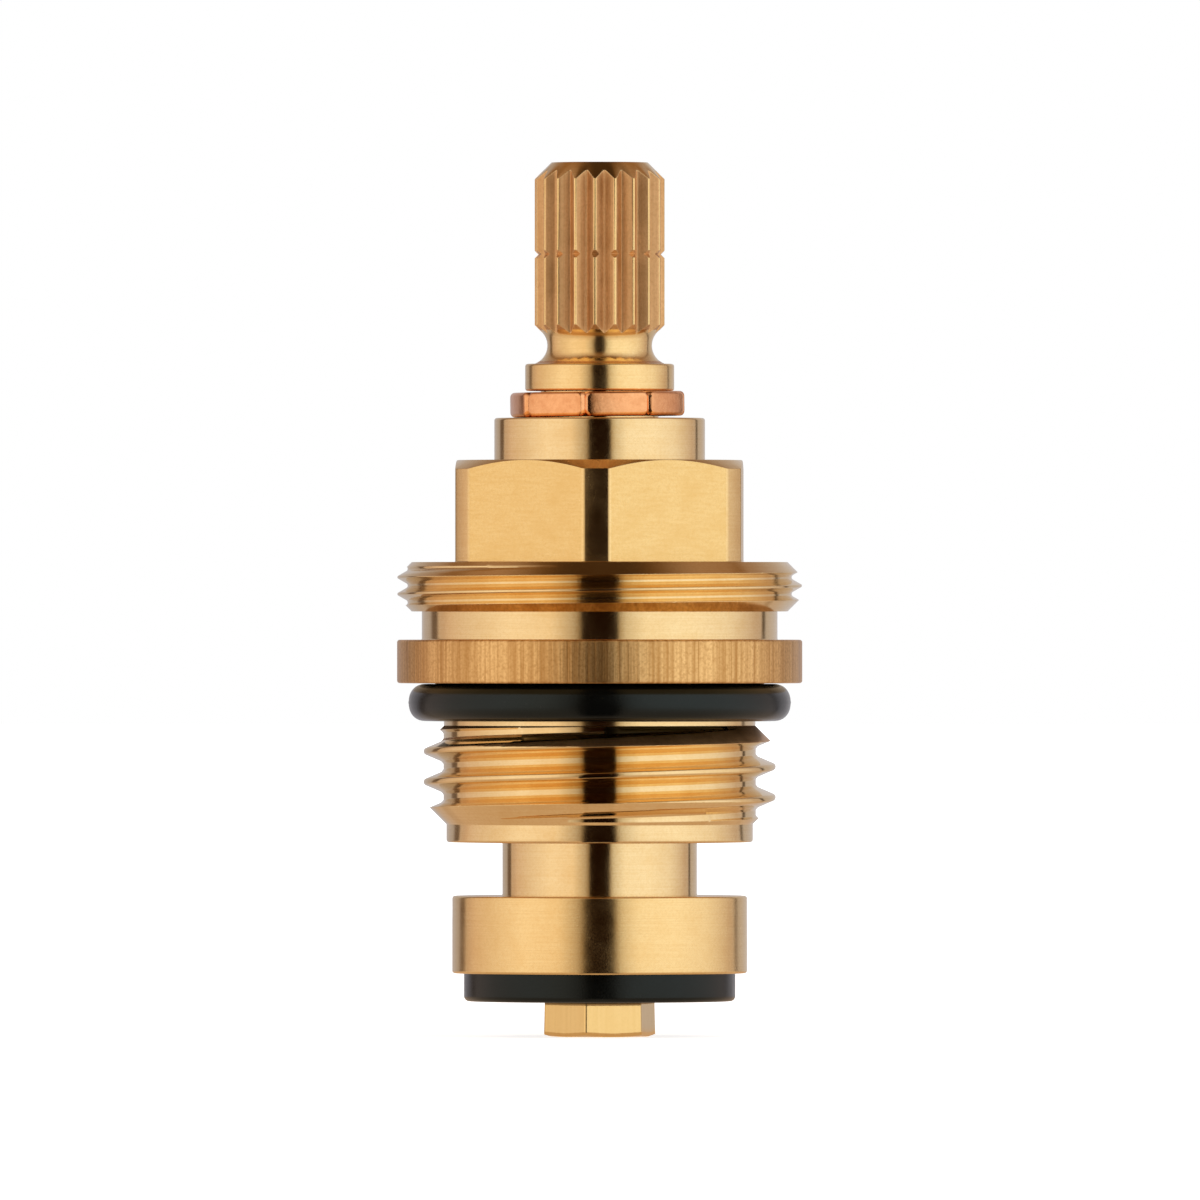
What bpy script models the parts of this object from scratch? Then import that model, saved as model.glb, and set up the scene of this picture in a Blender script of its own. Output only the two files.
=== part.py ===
"""Faucet stem: the headwork of a washer-type tap, whose spindle turns without rising.

The body screws into the tap. The spindle's left-hand drive thread lifts a hexagonal piston, and the piston
carries the valve washer. Metres, +Z up. The origin is on the axis, in the plane under the flange that
seats on the tap. The front of the part is its -Y side.
"""

import math

import bmesh
import bpy
from mathutils import Vector

MM = 0.001
FRONT = math.radians(-90)
RIGHT_HAND = 1
LEFT_HAND = -1

# Clearances
SEAT_GAP = 0.05 * MM
RUNNING_GAP = 0.10 * MM
CUT_MARGIN = 0.15 * MM
AIR = 1.0 * MM
WELD = 0.001 * MM

# Facets round the axis, and on each rounding
BODY_FACETS = 32
PISTON_FACETS = 24
SEAL_FACETS = 20
RING_SECTION_FACETS = 8
CUTTER_FACETS = 24
ROUNDING_STEPS = 1
WAIST_STEPS = 6
EDGE = 0.12 * MM
BORE_CHAMFER = 0.3 * MM
ROUNDING_SHARE = 0.4
SHARP_ANGLE = math.radians(32)
RIM_ANGLE = math.radians(80)
HEX_CORNER = 1 / math.sqrt(3)

# Body, outside
FLANGE_OVERHANG = 0.67 * MM
FLANGE_HEIGHT = 2.57 * MM
UNDERCUT_DEPTH = 1.45 * MM
UNDERCUT_HEIGHT = 1.68 * MM
COVER_THREAD_RADIUS = 12.0 * MM
COVER_THREAD_LENGTH = 2.93 * MM
COVER_THREAD_CHAMFER = 0.85 * MM
COVER_THREAD_PITCH = 1.0 * MM
COVER_THREAD_DEPTH = 0.613 * COVER_THREAD_PITCH
COVER_THREAD_CREST = 0.116 * COVER_THREAD_PITCH
COVER_THREAD_FLANK = math.radians(30)
COVER_THREAD_PHASE = 5.28 * MM
HEX_ACROSS = 16.95 * MM
HEX_CORNER_TRIM = 0.436 * MM
HEX_HEIGHT = 6.05 * MM
HEX_CHAMFER_ANGLE = math.radians(30)
HEX_TOP_INSET = 0.05 * MM
HEX_TURN = FRONT + math.radians(-1.2)
BOSS_RADIUS = 6.25 * MM
BOSS_HEIGHT = 2.5 * MM
NECK_RELIEF = 0.02 * MM
NECK_FREE_LENGTH = 0.27 * MM
TAP_THREAD_RADIUS = 10.45 * MM
TAP_THREAD_LENGTH = 5.85 * MM
TAP_THREAD_PITCH = 1.814 * MM
TAP_THREAD_DEPTH = 0.623 * TAP_THREAD_PITCH
TAP_THREAD_CREST = 0.1665 * TAP_THREAD_PITCH
TAP_THREAD_FLANK = math.radians(27.5)
TAP_THREAD_PHASE = -4.048 * MM
PILOT_STEP = 0.2 * MM
PILOT_LENGTH = 1.07 * MM

# Body, inside
BOSS_BORE_LENGTH = 4.9 * MM
CHAMBER_LENGTH = 1.0 * MM
RELIEF_LENGTH = 1.83 * MM
RELIEF_DEPTH = 0.12 * MM
GUIDE_DRILL_DEPTH = 0.2 * MM

# Spindle
SPLINE_RADIUS = 3.86 * MM
SPLINE_DEPTH = 0.51 * MM
SPLINE_TEETH = 20
SPLINE_TURN = FRONT + math.radians(-4.2)
SPINDLE_RISE = 11.95 * MM
SPLINE_TOP_CHAMFER = 1.0 * MM
SPLINE_FOOT_CHAMFER = 0.36 * MM
SNAP_GROOVE_DROP = 5.46 * MM
SNAP_GROOVE_DEPTH = 0.23 * MM
WAIST_DEPTH = 0.71 * MM
WAIST_ROUNDING = 1.15 * MM
WAIST_RISE = 1.09 * MM
COLLAR_HEIGHT = 1.61 * MM
COLLAR_END_PLAY = 0.15 * MM
JOURNAL_RADIUS = 4.42 * MM
SHOULDER_STEP = 0.53 * MM
SHOULDER_HEIGHT = 1.33 * MM
HANDLE_HOLE_WALL = 1.76 * MM
HANDLE_HOLE_DEPTH = 10.0 * MM
DRIVE_RADIUS = 3.5 * MM
DRIVE_DEPTH = 0.8 * MM
DRIVE_LEAD = 2.5 * MM
DRIVE_CREST = 0.9 * MM
DRIVE_FLANK = math.radians(15)
SPINDLE_FACETS = SPLINE_TEETH

# Retaining clip
CLIP_OVERHANG = 0.83 * MM
CLIP_THICKNESS = 1.4 * MM
CLIP_GROOVE_RADIUS = 3.5 * MM
CLIP_LOBES = 8
CLIP_LOBE_SHARES = (0.07, 0.25, 0.5, 0.75, 0.93)
CLIP_LOBE_CROWN = 0.12 * MM
CLIP_NOTCH_DEPTH = 0.4 * MM
CLIP_NOTCH_TURN = FRONT + math.radians(-8.5)
CLIP_GAP_ANGLE = math.radians(16)
CLIP_EDGE = 0.1 * MM

# Seals and slip ring
SEAL_SECTION = 1.2 * MM
SEAL_GROOVE_PLAY = 0.1 * MM
UPPER_SEAL_DROP = 1.45 * MM
LOWER_SEAL_DROP = 3.6 * MM
PISTON_SEAL_DROP = 1.75 * MM
THRUST_WASHER_THICKNESS = 0.4 * MM
FLANGE_SEAL_WIDTH = 2.0 * MM
FLANGE_SEAL_HEIGHT = 2.2 * MM

# Piston, valve washer and screw
PISTON_EXPOSED = 3.17 * MM
PISTON_SHAFT_STEP = 0.124 * MM
PISTON_SHAFT_LENGTH = 8.34 * MM
PISTON_HEX_TRIM = 0.06 * MM
PISTON_HEX_RUNOUT = 0.2 * MM
PISTON_NUT_LENGTH = 8.0 * MM
PISTON_WEB = 2.3 * MM
PISTON_LIFT = 3.0 * MM
PISTON_STOP_PLAY = 0.3 * MM
PISTON_HEAD_ROOM = 0.97 * MM
SPINDLE_END_PLAY = 0.8 * MM
CARRIER_WALL = 0.6 * MM
CARRIER_HEIGHT = 4.6 * MM
CUP_DEPTH = 1.6 * MM
VALVE_WASHER_RADIUS = 8.05 * MM
VALVE_WASHER_THICKNESS = 3.21 * MM
SCREW_RADIUS = 1.95 * MM
SCREW_HOLE_DEPTH = 3.5 * MM
SCREW_TIP_PLAY = 0.3 * MM
SCREW_HEAD_ACROSS = 5.98 * MM
SCREW_HEAD_HEIGHT = 2.05 * MM
SCREW_HEAD_TRIM = 0.15 * MM
SCREW_HEAD_TURN = FRONT + math.radians(-14.3)

# Levels up the outside of the body
flange_top = FLANGE_HEIGHT
undercut_top = flange_top + UNDERCUT_HEIGHT
cover_thread_top = undercut_top + COVER_THREAD_LENGTH
hex_top = cover_thread_top + HEX_HEIGHT
boss_top = hex_top + BOSS_HEIGHT
flange_seal = -SEAT_GAP - FLANGE_SEAL_HEIGHT / 2
neck_bottom = -SEAT_GAP - FLANGE_SEAL_HEIGHT - NECK_FREE_LENGTH
tap_thread_bottom = neck_bottom - TAP_THREAD_LENGTH
body_bottom = tap_thread_bottom - PILOT_LENGTH

# Levels inside the body
thrust_ledge = boss_top - BOSS_BORE_LENGTH
chamber_bottom = thrust_ledge - CHAMBER_LENGTH
guide_top = chamber_bottom - RELIEF_LENGTH

# Levels of the spindle's pieces
clip_bottom = boss_top + SEAT_GAP
clip_top = clip_bottom + CLIP_THICKNESS
collar_bottom = clip_top + COLLAR_END_PLAY
collar_top = collar_bottom + COLLAR_HEIGHT
spindle_top = collar_top + SPINDLE_RISE
waist = collar_top + WAIST_RISE
thrust_washer_top = thrust_ledge - SEAT_GAP
shoulder_top = thrust_washer_top - THRUST_WASHER_THICKNESS - SEAT_GAP
shoulder_bottom = shoulder_top - SHOULDER_HEIGHT
upper_seal = boss_top - UPPER_SEAL_DROP
lower_seal = boss_top - LOWER_SEAL_DROP

# Levels of the piston's pieces
carrier_top = body_bottom - PISTON_EXPOSED
carrier_bottom = carrier_top - CARRIER_HEIGHT
cup_floor = carrier_bottom + CUP_DEPTH
shaft_top = carrier_top + PISTON_SHAFT_LENGTH
guide_bottom = shaft_top + PISTON_LIFT + PISTON_STOP_PLAY
piston_top = shoulder_bottom - PISTON_LIFT - PISTON_HEAD_ROOM
nut_bottom = piston_top - PISTON_NUT_LENGTH
piston_seal = shaft_top - PISTON_SEAL_DROP
screw_hole_top = cup_floor + SCREW_HOLE_DEPTH
piston_bore_floor = screw_hole_top + PISTON_WEB
spindle_bottom = piston_bore_floor + PISTON_LIFT + SPINDLE_END_PLAY
valve_washer_top = cup_floor - SEAT_GAP
valve_washer_bottom = valve_washer_top - VALVE_WASHER_THICKNESS
screw_head_top = valve_washer_bottom - SEAT_GAP
screw_bottom = screw_head_top - SCREW_HEAD_HEIGHT

# Radii of the body's outside, and of the ring under its flange
undercut_radius = COVER_THREAD_RADIUS - UNDERCUT_DEPTH
hex_corner_radius = HEX_ACROSS * HEX_CORNER - HEX_CORNER_TRIM
neck_radius = TAP_THREAD_RADIUS - TAP_THREAD_DEPTH - NECK_RELIEF
pilot_radius = neck_radius - PILOT_STEP
flange_seal_radius = neck_radius + SEAT_GAP + FLANGE_SEAL_WIDTH
flange_radius = flange_seal_radius + FLANGE_OVERHANG

# Radii of the spindle and the clip
spline_valley_radius = SPLINE_RADIUS - SPLINE_DEPTH
waist_radius = SPLINE_RADIUS - WAIST_DEPTH
handle_hole_radius = SPLINE_RADIUS - HANDLE_HOLE_WALL
clip_radius = JOURNAL_RADIUS + CLIP_OVERHANG
shoulder_radius = JOURNAL_RADIUS + SHOULDER_STEP
drive_root = DRIVE_RADIUS - DRIVE_DEPTH

# Sizes of the piston, whose hexagon is as wide as the shoulder that passes its guide
piston_hex_across = 2 * shoulder_radius
piston_hex_corner = piston_hex_across * HEX_CORNER - PISTON_HEX_TRIM
piston_shaft_radius = piston_hex_corner + PISTON_SHAFT_STEP
nut_radius = drive_root + RUNNING_GAP
spindle_clearance = DRIVE_RADIUS + 2 * RUNNING_GAP
cup_radius = VALVE_WASHER_RADIUS + 2 * SEAT_GAP
carrier_radius = cup_radius + CARRIER_WALL
screw_hole = SCREW_RADIUS + SEAT_GAP

# Radii of the body's inside, from what runs there
boss_bore = JOURNAL_RADIUS + RUNNING_GAP
chamber_radius = shoulder_radius + RUNNING_GAP
piston_bore = piston_shaft_radius + RUNNING_GAP
guide_across = piston_hex_across + 2 * RUNNING_GAP
guide_corner = guide_across * HEX_CORNER
guide_drill = guide_across / 2 - GUIDE_DRILL_DEPTH
relief_radius = guide_corner + RELIEF_DEPTH


def clear_scene():
    """Remove what the scene holds."""
    for item in list(bpy.data.objects):
        bpy.data.objects.remove(item, do_unlink=True)


def new_collection(name):
    """Make a collection and link it to the scene."""
    collection = bpy.data.collections.new(name)
    bpy.context.scene.collection.children.link(collection)
    return collection


def new_material(name, colour, roughness, metallic):
    """Make a Principled material."""
    material = bpy.data.materials.new(name)
    material.use_nodes = True
    shader = material.node_tree.nodes["Principled BSDF"]
    shader.inputs["Base Color"].default_value = (*colour, 1.0)
    shader.inputs["Roughness"].default_value = roughness
    shader.inputs["Metallic"].default_value = metallic
    return material


def round_corners(corners):
    """Points of an outline whose corners are (r, z), or (r, z, rounding) where the edge is broken."""
    points = []
    for index, corner in enumerate(corners):
        here = Vector(corner[:2])
        if len(corner) == 2:
            points.append(here)
            continue
        before = Vector(corners[index - 1][:2]) - here
        after = Vector(corners[(index + 1) % len(corners)][:2]) - here
        half_angle = before.angle(after) / 2
        longest_reach = ROUNDING_SHARE * min(before.length, after.length)
        reach = min(corner[2] / math.tan(half_angle), longest_reach)
        radius = reach * math.tan(half_angle)
        inward = (before.normalized() + after.normalized()).normalized()
        centre = here + inward * (radius / math.sin(half_angle))
        start = here + before.normalized() * reach - centre
        end = here + after.normalized() * reach - centre
        for step in range(ROUNDING_STEPS + 1):
            along = start.lerp(end, step / ROUNDING_STEPS)
            points.append(centre + along.normalized() * radius)
    return points


def profile_mesh(name, points, closed):
    """Edges through (r, z) points, in the plane of +X and +Z."""
    mesh = bpy.data.meshes.new(name)
    edges = [(index, index + 1) for index in range(len(points) - 1)]
    if closed:
        edges.append((len(points) - 1, 0))
    mesh.from_pydata([(r, 0, z) for r, z in points], edges, [])
    return mesh


def screwed_mesh(name, points, closed, facets, sweep=math.tau, rise=0.0):
    """The mesh that a Screw modifier makes of a profile."""
    source = bpy.data.objects.new(name, profile_mesh(name, points, closed))
    bpy.context.scene.collection.objects.link(source)
    screw = source.modifiers.new("Screw", "SCREW")
    screw.axis = "Z"
    screw.angle = sweep
    screw.screw_offset = rise
    screw.steps = facets
    screw.render_steps = facets
    screw.use_merge_vertices = rise == 0.0
    screw.merge_threshold = WELD
    return evaluated_mesh(source, name)


def evaluated_mesh(source, name):
    """The evaluated mesh of an object that is only needed to make it. The object is removed."""
    depsgraph = bpy.context.evaluated_depsgraph_get()
    mesh = bpy.data.meshes.new_from_object(source.evaluated_get(depsgraph))
    mesh.name = name
    bpy.data.objects.remove(source, do_unlink=True)
    return mesh


def close_mesh(mesh):
    """Weld loose caps, fill open ends and turn the faces outwards."""
    cage = bmesh.new()
    cage.from_mesh(mesh)
    bmesh.ops.remove_doubles(cage, verts=cage.verts, dist=WELD)
    bmesh.ops.holes_fill(cage, edges=cage.edges, sides=0)
    bmesh.ops.recalc_face_normals(cage, faces=cage.faces)
    cage.to_mesh(mesh)
    cage.free()


def add_part(name, mesh, material, collection):
    """Place a mesh as a named part with its material, shaded smooth between sharp edges."""
    part = bpy.data.objects.new(name, mesh)
    mesh.materials.clear()
    mesh.materials.append(material)
    mesh.shade_smooth()
    mesh.set_sharp_from_angle(angle=SHARP_ANGLE)
    collection.objects.link(part)
    return part


def add_cutter(name, mesh, collection):
    """Place a mesh as a cutter, which shows as wire and doesn't render."""
    cutter = bpy.data.objects.new(name, mesh)
    cutter.display_type = "WIRE"
    cutter.hide_render = True
    collection.objects.link(cutter)
    return cutter


def cut(part, cutter):
    """Cut one object by another."""
    modifier = part.modifiers.new(cutter.name, "BOOLEAN")
    modifier.operation = "DIFFERENCE"
    modifier.solver = "EXACT"
    modifier.object = cutter


def turned(name, corners, facets, material, collection):
    """A turned part. Its corners run down the outside, and close up the bore where there is one."""
    points = round_corners(corners)
    has_bore = points[0].x > 0 and points[-1].x > 0
    mesh = screwed_mesh(name, points, has_bore, facets)
    return add_part(name, mesh, material, collection)


def o_ring(name, radius, section, height, facets, material, collection):
    """A rubber ring of an outside radius and a section's width, with its middle at a height."""
    bpy.ops.mesh.primitive_torus_add(
        major_segments=facets,
        minor_segments=RING_SECTION_FACETS,
        major_radius=radius - section / 2,
        minor_radius=section / 2,
        location=(0, 0, height),
    )
    primitive = bpy.context.object
    mesh = primitive.data
    bpy.data.objects.remove(primitive, do_unlink=True)
    ring = add_part(name, mesh, material, collection)
    ring.location.z = height
    return ring


def polygon(count, radius, turn):
    """Corners of a regular polygon, with one at the angle turn."""
    angles = [turn + math.tau * index / count for index in range(count)]
    return [(radius * math.cos(angle), radius * math.sin(angle)) for angle in angles]


def outline_mesh(name, outlines, thickness):
    """A flat shape with one or more closed outlines, centred on z = 0."""
    curve = bpy.data.curves.new(name, "CURVE")
    curve.dimensions = "2D"
    curve.fill_mode = "BOTH"
    curve.extrude = thickness / 2
    for outline in outlines:
        spline = curve.splines.new("POLY")
        spline.points.add(len(outline) - 1)
        for point, (x, y) in zip(spline.points, outline):
            point.co = (x, y, 0, 1)
        spline.use_cyclic_u = True
    source = bpy.data.objects.new(name, curve)
    bpy.context.scene.collection.objects.link(source)
    mesh = evaluated_mesh(source, name)
    close_mesh(mesh)
    return mesh


def ring_cutter(name, outline, outer_radius, low, high, collection):
    """A ring that leaves only what is inside an outline, between two levels."""
    outside = polygon(CUTTER_FACETS, outer_radius / math.cos(math.pi / CUTTER_FACETS), 0)
    cutter = add_cutter(name, outline_mesh(name, [outside, outline], high - low), collection)
    cutter.location.z = (low + high) / 2
    return cutter


def prism_cutter(name, outline, low, high, collection):
    """A prism between two levels."""
    cutter = add_cutter(name, outline_mesh(name, [outline], high - low), collection)
    cutter.location.z = (low + high) / 2
    return cutter


def helical_cutter(name, section, lead, hand, phase, low, high, facets, collection):
    """A bar wound round the axis. Its middle passes phase above +X, and its ends are at low and high."""
    step = math.tau / facets
    start, end = (low, high) if hand == RIGHT_HAND else (high, low)
    first = math.ceil(hand * math.tau * (start - phase) / lead / step)
    last = math.floor(hand * math.tau * (end - phase) / lead / step)
    sweep = (last - first) * step
    rise = hand * lead * sweep / math.tau
    mesh = screwed_mesh(name, section, True, last - first, sweep, rise)
    close_mesh(mesh)
    cutter = add_cutter(name, mesh, collection)
    start_angle = (first + 0.5) * step
    cutter.rotation_euler.z = start_angle
    cutter.location.z = phase + hand * lead * start_angle / math.tau
    return cutter


def outside_groove(radius, depth, half_width, flank):
    """Section of an outside thread's groove, which narrows inwards and stands out into the air."""
    root = half_width - depth * math.tan(flank)
    return [
        (radius + AIR, half_width),
        (radius + AIR, -half_width),
        (radius, -half_width),
        (radius - depth, -root),
        (radius - depth, root),
        (radius, half_width),
    ]


def inside_groove(radius, depth, half_width, flank):
    """Section of an inside thread's groove, from a bore of this radius outwards."""
    root = half_width - depth * math.tan(flank)
    return [
        (radius + depth, root),
        (radius + depth, -root),
        (radius, -half_width),
        (radius - AIR, -half_width),
        (radius - AIR, half_width),
        (radius, half_width),
    ]


def outside_thread(name, radius, depth, pitch, crest, flank, hand, phase, low, high, facets, collection):
    """Cutter for an outside thread, whose groove passes phase above +X."""
    section = outside_groove(radius, depth, (pitch - crest) / 2, flank)
    return helical_cutter(name, section, pitch, hand, phase, low, high, facets, collection)


def make_body(material, parts, cutters):
    """The turned body with its hexagon, two threads, stepped bore and hexagonal guide."""
    hex_chamfer_radius = HEX_ACROSS / 2 - HEX_TOP_INSET
    hex_chamfer_drop = (hex_corner_radius - hex_chamfer_radius) * math.tan(HEX_CHAMFER_ANGLE)
    cover_chamfer_radius = COVER_THREAD_RADIUS - COVER_THREAD_CHAMFER
    neck_cone = widest_neck_cone()
    facing = CUT_MARGIN
    body = turned("body", [
        (BOSS_RADIUS, boss_top, EDGE),
        (BOSS_RADIUS, hex_top),
        (hex_chamfer_radius, hex_top),
        (hex_corner_radius, hex_top - hex_chamfer_drop),
        (hex_corner_radius, cover_thread_top + facing),
        (cover_chamfer_radius - facing, cover_thread_top + facing),
        (COVER_THREAD_RADIUS, cover_thread_top - COVER_THREAD_CHAMFER),
        (COVER_THREAD_RADIUS, undercut_top + COVER_THREAD_CHAMFER),
        (cover_chamfer_radius, undercut_top),
        (undercut_radius, undercut_top),
        (undercut_radius, flange_top),
        (flange_radius, flange_top, EDGE),
        (flange_radius, 0, EDGE),
        (neck_radius + neck_cone, 0),
        (neck_radius, -neck_cone),
        (neck_radius, neck_bottom),
        (TAP_THREAD_RADIUS, neck_bottom - (TAP_THREAD_RADIUS - neck_radius)),
        (TAP_THREAD_RADIUS, tap_thread_bottom + (TAP_THREAD_RADIUS - pilot_radius)),
        (pilot_radius, tap_thread_bottom),
        (pilot_radius, body_bottom, EDGE),
        (piston_bore + BORE_CHAMFER, body_bottom),
        (piston_bore, body_bottom + BORE_CHAMFER),
        (piston_bore, guide_bottom),
        (guide_drill, guide_bottom),
        (guide_drill, guide_top),
        (relief_radius, guide_top),
        (relief_radius, chamber_bottom),
        (chamber_radius, chamber_bottom),
        (chamber_radius, thrust_ledge),
        (boss_bore, thrust_ledge),
        (boss_bore, boss_top - BORE_CHAMFER),
        (boss_bore + BORE_CHAMFER, boss_top),
    ], BODY_FACETS, material, parts)

    hexagon = polygon(6, HEX_ACROSS * HEX_CORNER, HEX_TURN)
    cut(body, ring_cutter(
        "hexagon_cutter", hexagon, COVER_THREAD_RADIUS + AIR, cover_thread_top, hex_top + AIR, cutters))

    guide = polygon(6, guide_corner, HEX_TURN)
    relief_middle = (guide_top + chamber_bottom) / 2
    cut(body, prism_cutter("guide_cutter", guide, guide_bottom - AIR, relief_middle, cutters))

    cover_half_width = (COVER_THREAD_PITCH - COVER_THREAD_CREST) / 2
    cut(body, outside_thread(
        "cover_thread_cutter", COVER_THREAD_RADIUS, COVER_THREAD_DEPTH, COVER_THREAD_PITCH,
        COVER_THREAD_CREST, COVER_THREAD_FLANK, RIGHT_HAND, COVER_THREAD_PHASE,
        undercut_top - cover_half_width - CUT_MARGIN,
        cover_thread_top + cover_half_width + facing + CUT_MARGIN,
        BODY_FACETS, cutters))

    tap_half_width = (TAP_THREAD_PITCH - TAP_THREAD_CREST) / 2
    cut(body, outside_thread(
        "tap_thread_cutter", TAP_THREAD_RADIUS, TAP_THREAD_DEPTH, TAP_THREAD_PITCH, TAP_THREAD_CREST,
        TAP_THREAD_FLANK, RIGHT_HAND, TAP_THREAD_PHASE,
        tap_thread_bottom - tap_half_width - CUT_MARGIN, neck_bottom + tap_half_width + CUT_MARGIN,
        BODY_FACETS, cutters))
    return body


def widest_neck_cone():
    """Width of the 45 degree cone under the flange that just clears the oval ring there."""
    half_width = FLANGE_SEAL_WIDTH / 2
    half_height = FLANGE_SEAL_HEIGHT / 2
    corner_space = half_width + half_height - math.hypot(half_width, half_height)
    return corner_space + (2 - math.sqrt(2)) * SEAT_GAP


def seal_groove(journal, floor, height):
    """Corners of a ring groove in a shaft, from its top to its bottom."""
    half_width = SEAL_SECTION / 2 + SEAL_GROOVE_PLAY
    return [
        (journal, height + half_width),
        (floor, height + half_width),
        (floor, height - half_width),
        (journal, height - half_width),
    ]


def seal_groove_floor(bore):
    """Radius of the groove under a ring that fills a bore."""
    return bore - SEAT_GAP - SEAL_SECTION - SEAT_GAP


def waist_arc():
    """Points of the hollow between the spline and the collar, from the spline down to the collar."""
    centre = waist_radius + WAIST_ROUNDING
    spline_foot = SPLINE_RADIUS - SPLINE_FOOT_CHAMFER
    top_angle = math.acos((centre - spline_foot) / WAIST_ROUNDING)
    bottom_angle = -math.asin(min(1.0, WAIST_RISE / WAIST_ROUNDING))
    points = []
    for step in range(WAIST_STEPS + 1):
        angle = top_angle + (bottom_angle - top_angle) * step / WAIST_STEPS
        radius = centre - WAIST_ROUNDING * math.cos(angle)
        points.append((radius, waist + WAIST_ROUNDING * math.sin(angle)))
    return points


def make_spindle(material, parts, cutters):
    """The splined spindle with its collar, journal, shoulder and left-hand drive thread.

    The blank has one facet to a tooth, turned so that each crest lies on the middle of a facet.
    """
    arc = waist_arc()
    blank = SPLINE_RADIUS / math.cos(math.pi / SPINDLE_FACETS)
    snap_groove = spindle_top - SNAP_GROOVE_DROP
    floor = seal_groove_floor(boss_bore)
    drive_half_width = (DRIVE_LEAD - DRIVE_CREST) / 2
    drive_top = shoulder_bottom - 2 * drive_half_width - 2 * CUT_MARGIN
    spindle = turned("spindle", [
        (0, spindle_top - HANDLE_HOLE_DEPTH),
        (handle_hole_radius, spindle_top - HANDLE_HOLE_DEPTH),
        (handle_hole_radius, spindle_top - BORE_CHAMFER),
        (handle_hole_radius + BORE_CHAMFER, spindle_top),
        (blank - SPLINE_TOP_CHAMFER, spindle_top),
        (blank, spindle_top - SPLINE_TOP_CHAMFER),
        (blank, snap_groove + SNAP_GROOVE_DEPTH),
        (blank - SNAP_GROOVE_DEPTH, snap_groove),
        (blank, snap_groove - SNAP_GROOVE_DEPTH),
        (blank, arc[0][1] + SPLINE_FOOT_CHAMFER),
        *arc,
        (JOURNAL_RADIUS, collar_top, EDGE),
        (JOURNAL_RADIUS, collar_bottom, EDGE),
        (CLIP_GROOVE_RADIUS, collar_bottom),
        (CLIP_GROOVE_RADIUS, boss_top - CUT_MARGIN),
        (JOURNAL_RADIUS, boss_top - CUT_MARGIN),
        *seal_groove(JOURNAL_RADIUS, floor, upper_seal),
        *seal_groove(JOURNAL_RADIUS, floor, lower_seal),
        (JOURNAL_RADIUS, shoulder_top),
        (shoulder_radius, shoulder_top),
        (shoulder_radius, shoulder_bottom, EDGE),
        (drive_root - SEAT_GAP, shoulder_bottom),
        (drive_root - SEAT_GAP, drive_top + DRIVE_DEPTH / 2),
        (DRIVE_RADIUS, drive_top - DRIVE_DEPTH / 2),
        (DRIVE_RADIUS, spindle_bottom + DRIVE_DEPTH),
        (drive_root, spindle_bottom),
        (0, spindle_bottom),
    ], SPINDLE_FACETS, material, parts)
    spindle.rotation_euler.z = SPLINE_TURN + math.pi / SPLINE_TEETH

    cut(spindle, ring_cutter(
        "spline_cutter", spline_outline(), SPLINE_RADIUS + AIR, waist, spindle_top + AIR, cutters))
    cut(spindle, outside_thread(
        "drive_thread_cutter", DRIVE_RADIUS, DRIVE_DEPTH, DRIVE_LEAD,
        DRIVE_CREST, DRIVE_FLANK, LEFT_HAND, 0,
        spindle_bottom - drive_half_width - CUT_MARGIN,
        drive_top + drive_half_width + CUT_MARGIN,
        SPINDLE_FACETS, cutters))
    return spindle


def spline_outline():
    """A star with right-angled valleys. Its tips stand outside the blank, so each crest stays flat."""
    half_pitch = math.pi / SPLINE_TEETH
    rise = spline_valley_radius * math.tan(half_pitch) / (1 - math.tan(half_pitch))
    tip_radius = (spline_valley_radius + rise) / math.cos(half_pitch)
    tips = polygon(SPLINE_TEETH, tip_radius, SPLINE_TURN)
    valleys = polygon(SPLINE_TEETH, spline_valley_radius, SPLINE_TURN + half_pitch)
    return [point for pair in zip(tips, valleys) for point in pair]


def clip_outline():
    """The lobed outside of the ring from one end of its gap to the other, then back along its inside."""
    lobe_angle = math.tau / CLIP_LOBES
    back_notch = CLIP_NOTCH_TURN + math.pi
    gap_end = CLIP_GAP_ANGLE / 2
    outside = []
    for lobe in range(CLIP_LOBES):
        start = lobe * lobe_angle
        if lobe > 0:
            outside.append((start, clip_radius - CLIP_NOTCH_DEPTH))
        for share in CLIP_LOBE_SHARES:
            angle = min(max(start + share * lobe_angle, gap_end), math.tau - gap_end)
            outside.append((angle, clip_radius - CLIP_LOBE_CROWN * (2 * share - 1) ** 2))
    inner_radius = CLIP_GROOVE_RADIUS + SEAT_GAP
    inside_turn = math.tau - CLIP_GAP_ANGLE
    inside = [
        (math.tau - gap_end - inside_turn * step / CUTTER_FACETS, inner_radius)
        for step in range(CUTTER_FACETS + 1)
    ]
    polar = outside + inside
    return [(r * math.cos(back_notch + angle), r * math.sin(back_notch + angle)) for angle, r in polar]


def make_clip(material, parts):
    """The lobed snap ring that holds the spindle down on the boss."""
    mesh = outline_mesh("retaining_clip", [clip_outline()], CLIP_THICKNESS)
    cage = bmesh.new()
    cage.from_mesh(mesh)
    rims = [edge for edge in cage.edges if edge.calc_face_angle(0) > RIM_ANGLE and is_level(edge)]
    bmesh.ops.bevel(cage, geom=rims, offset=CLIP_EDGE, segments=1, affect="EDGES")
    cage.to_mesh(mesh)
    cage.free()
    clip = add_part("retaining_clip", mesh, material, parts)
    clip.location.z = (clip_bottom + clip_top) / 2
    return clip


def is_level(edge):
    """Whether an edge lies in a level plane."""
    return abs(edge.verts[0].co.z - edge.verts[1].co.z) < SEAT_GAP


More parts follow.
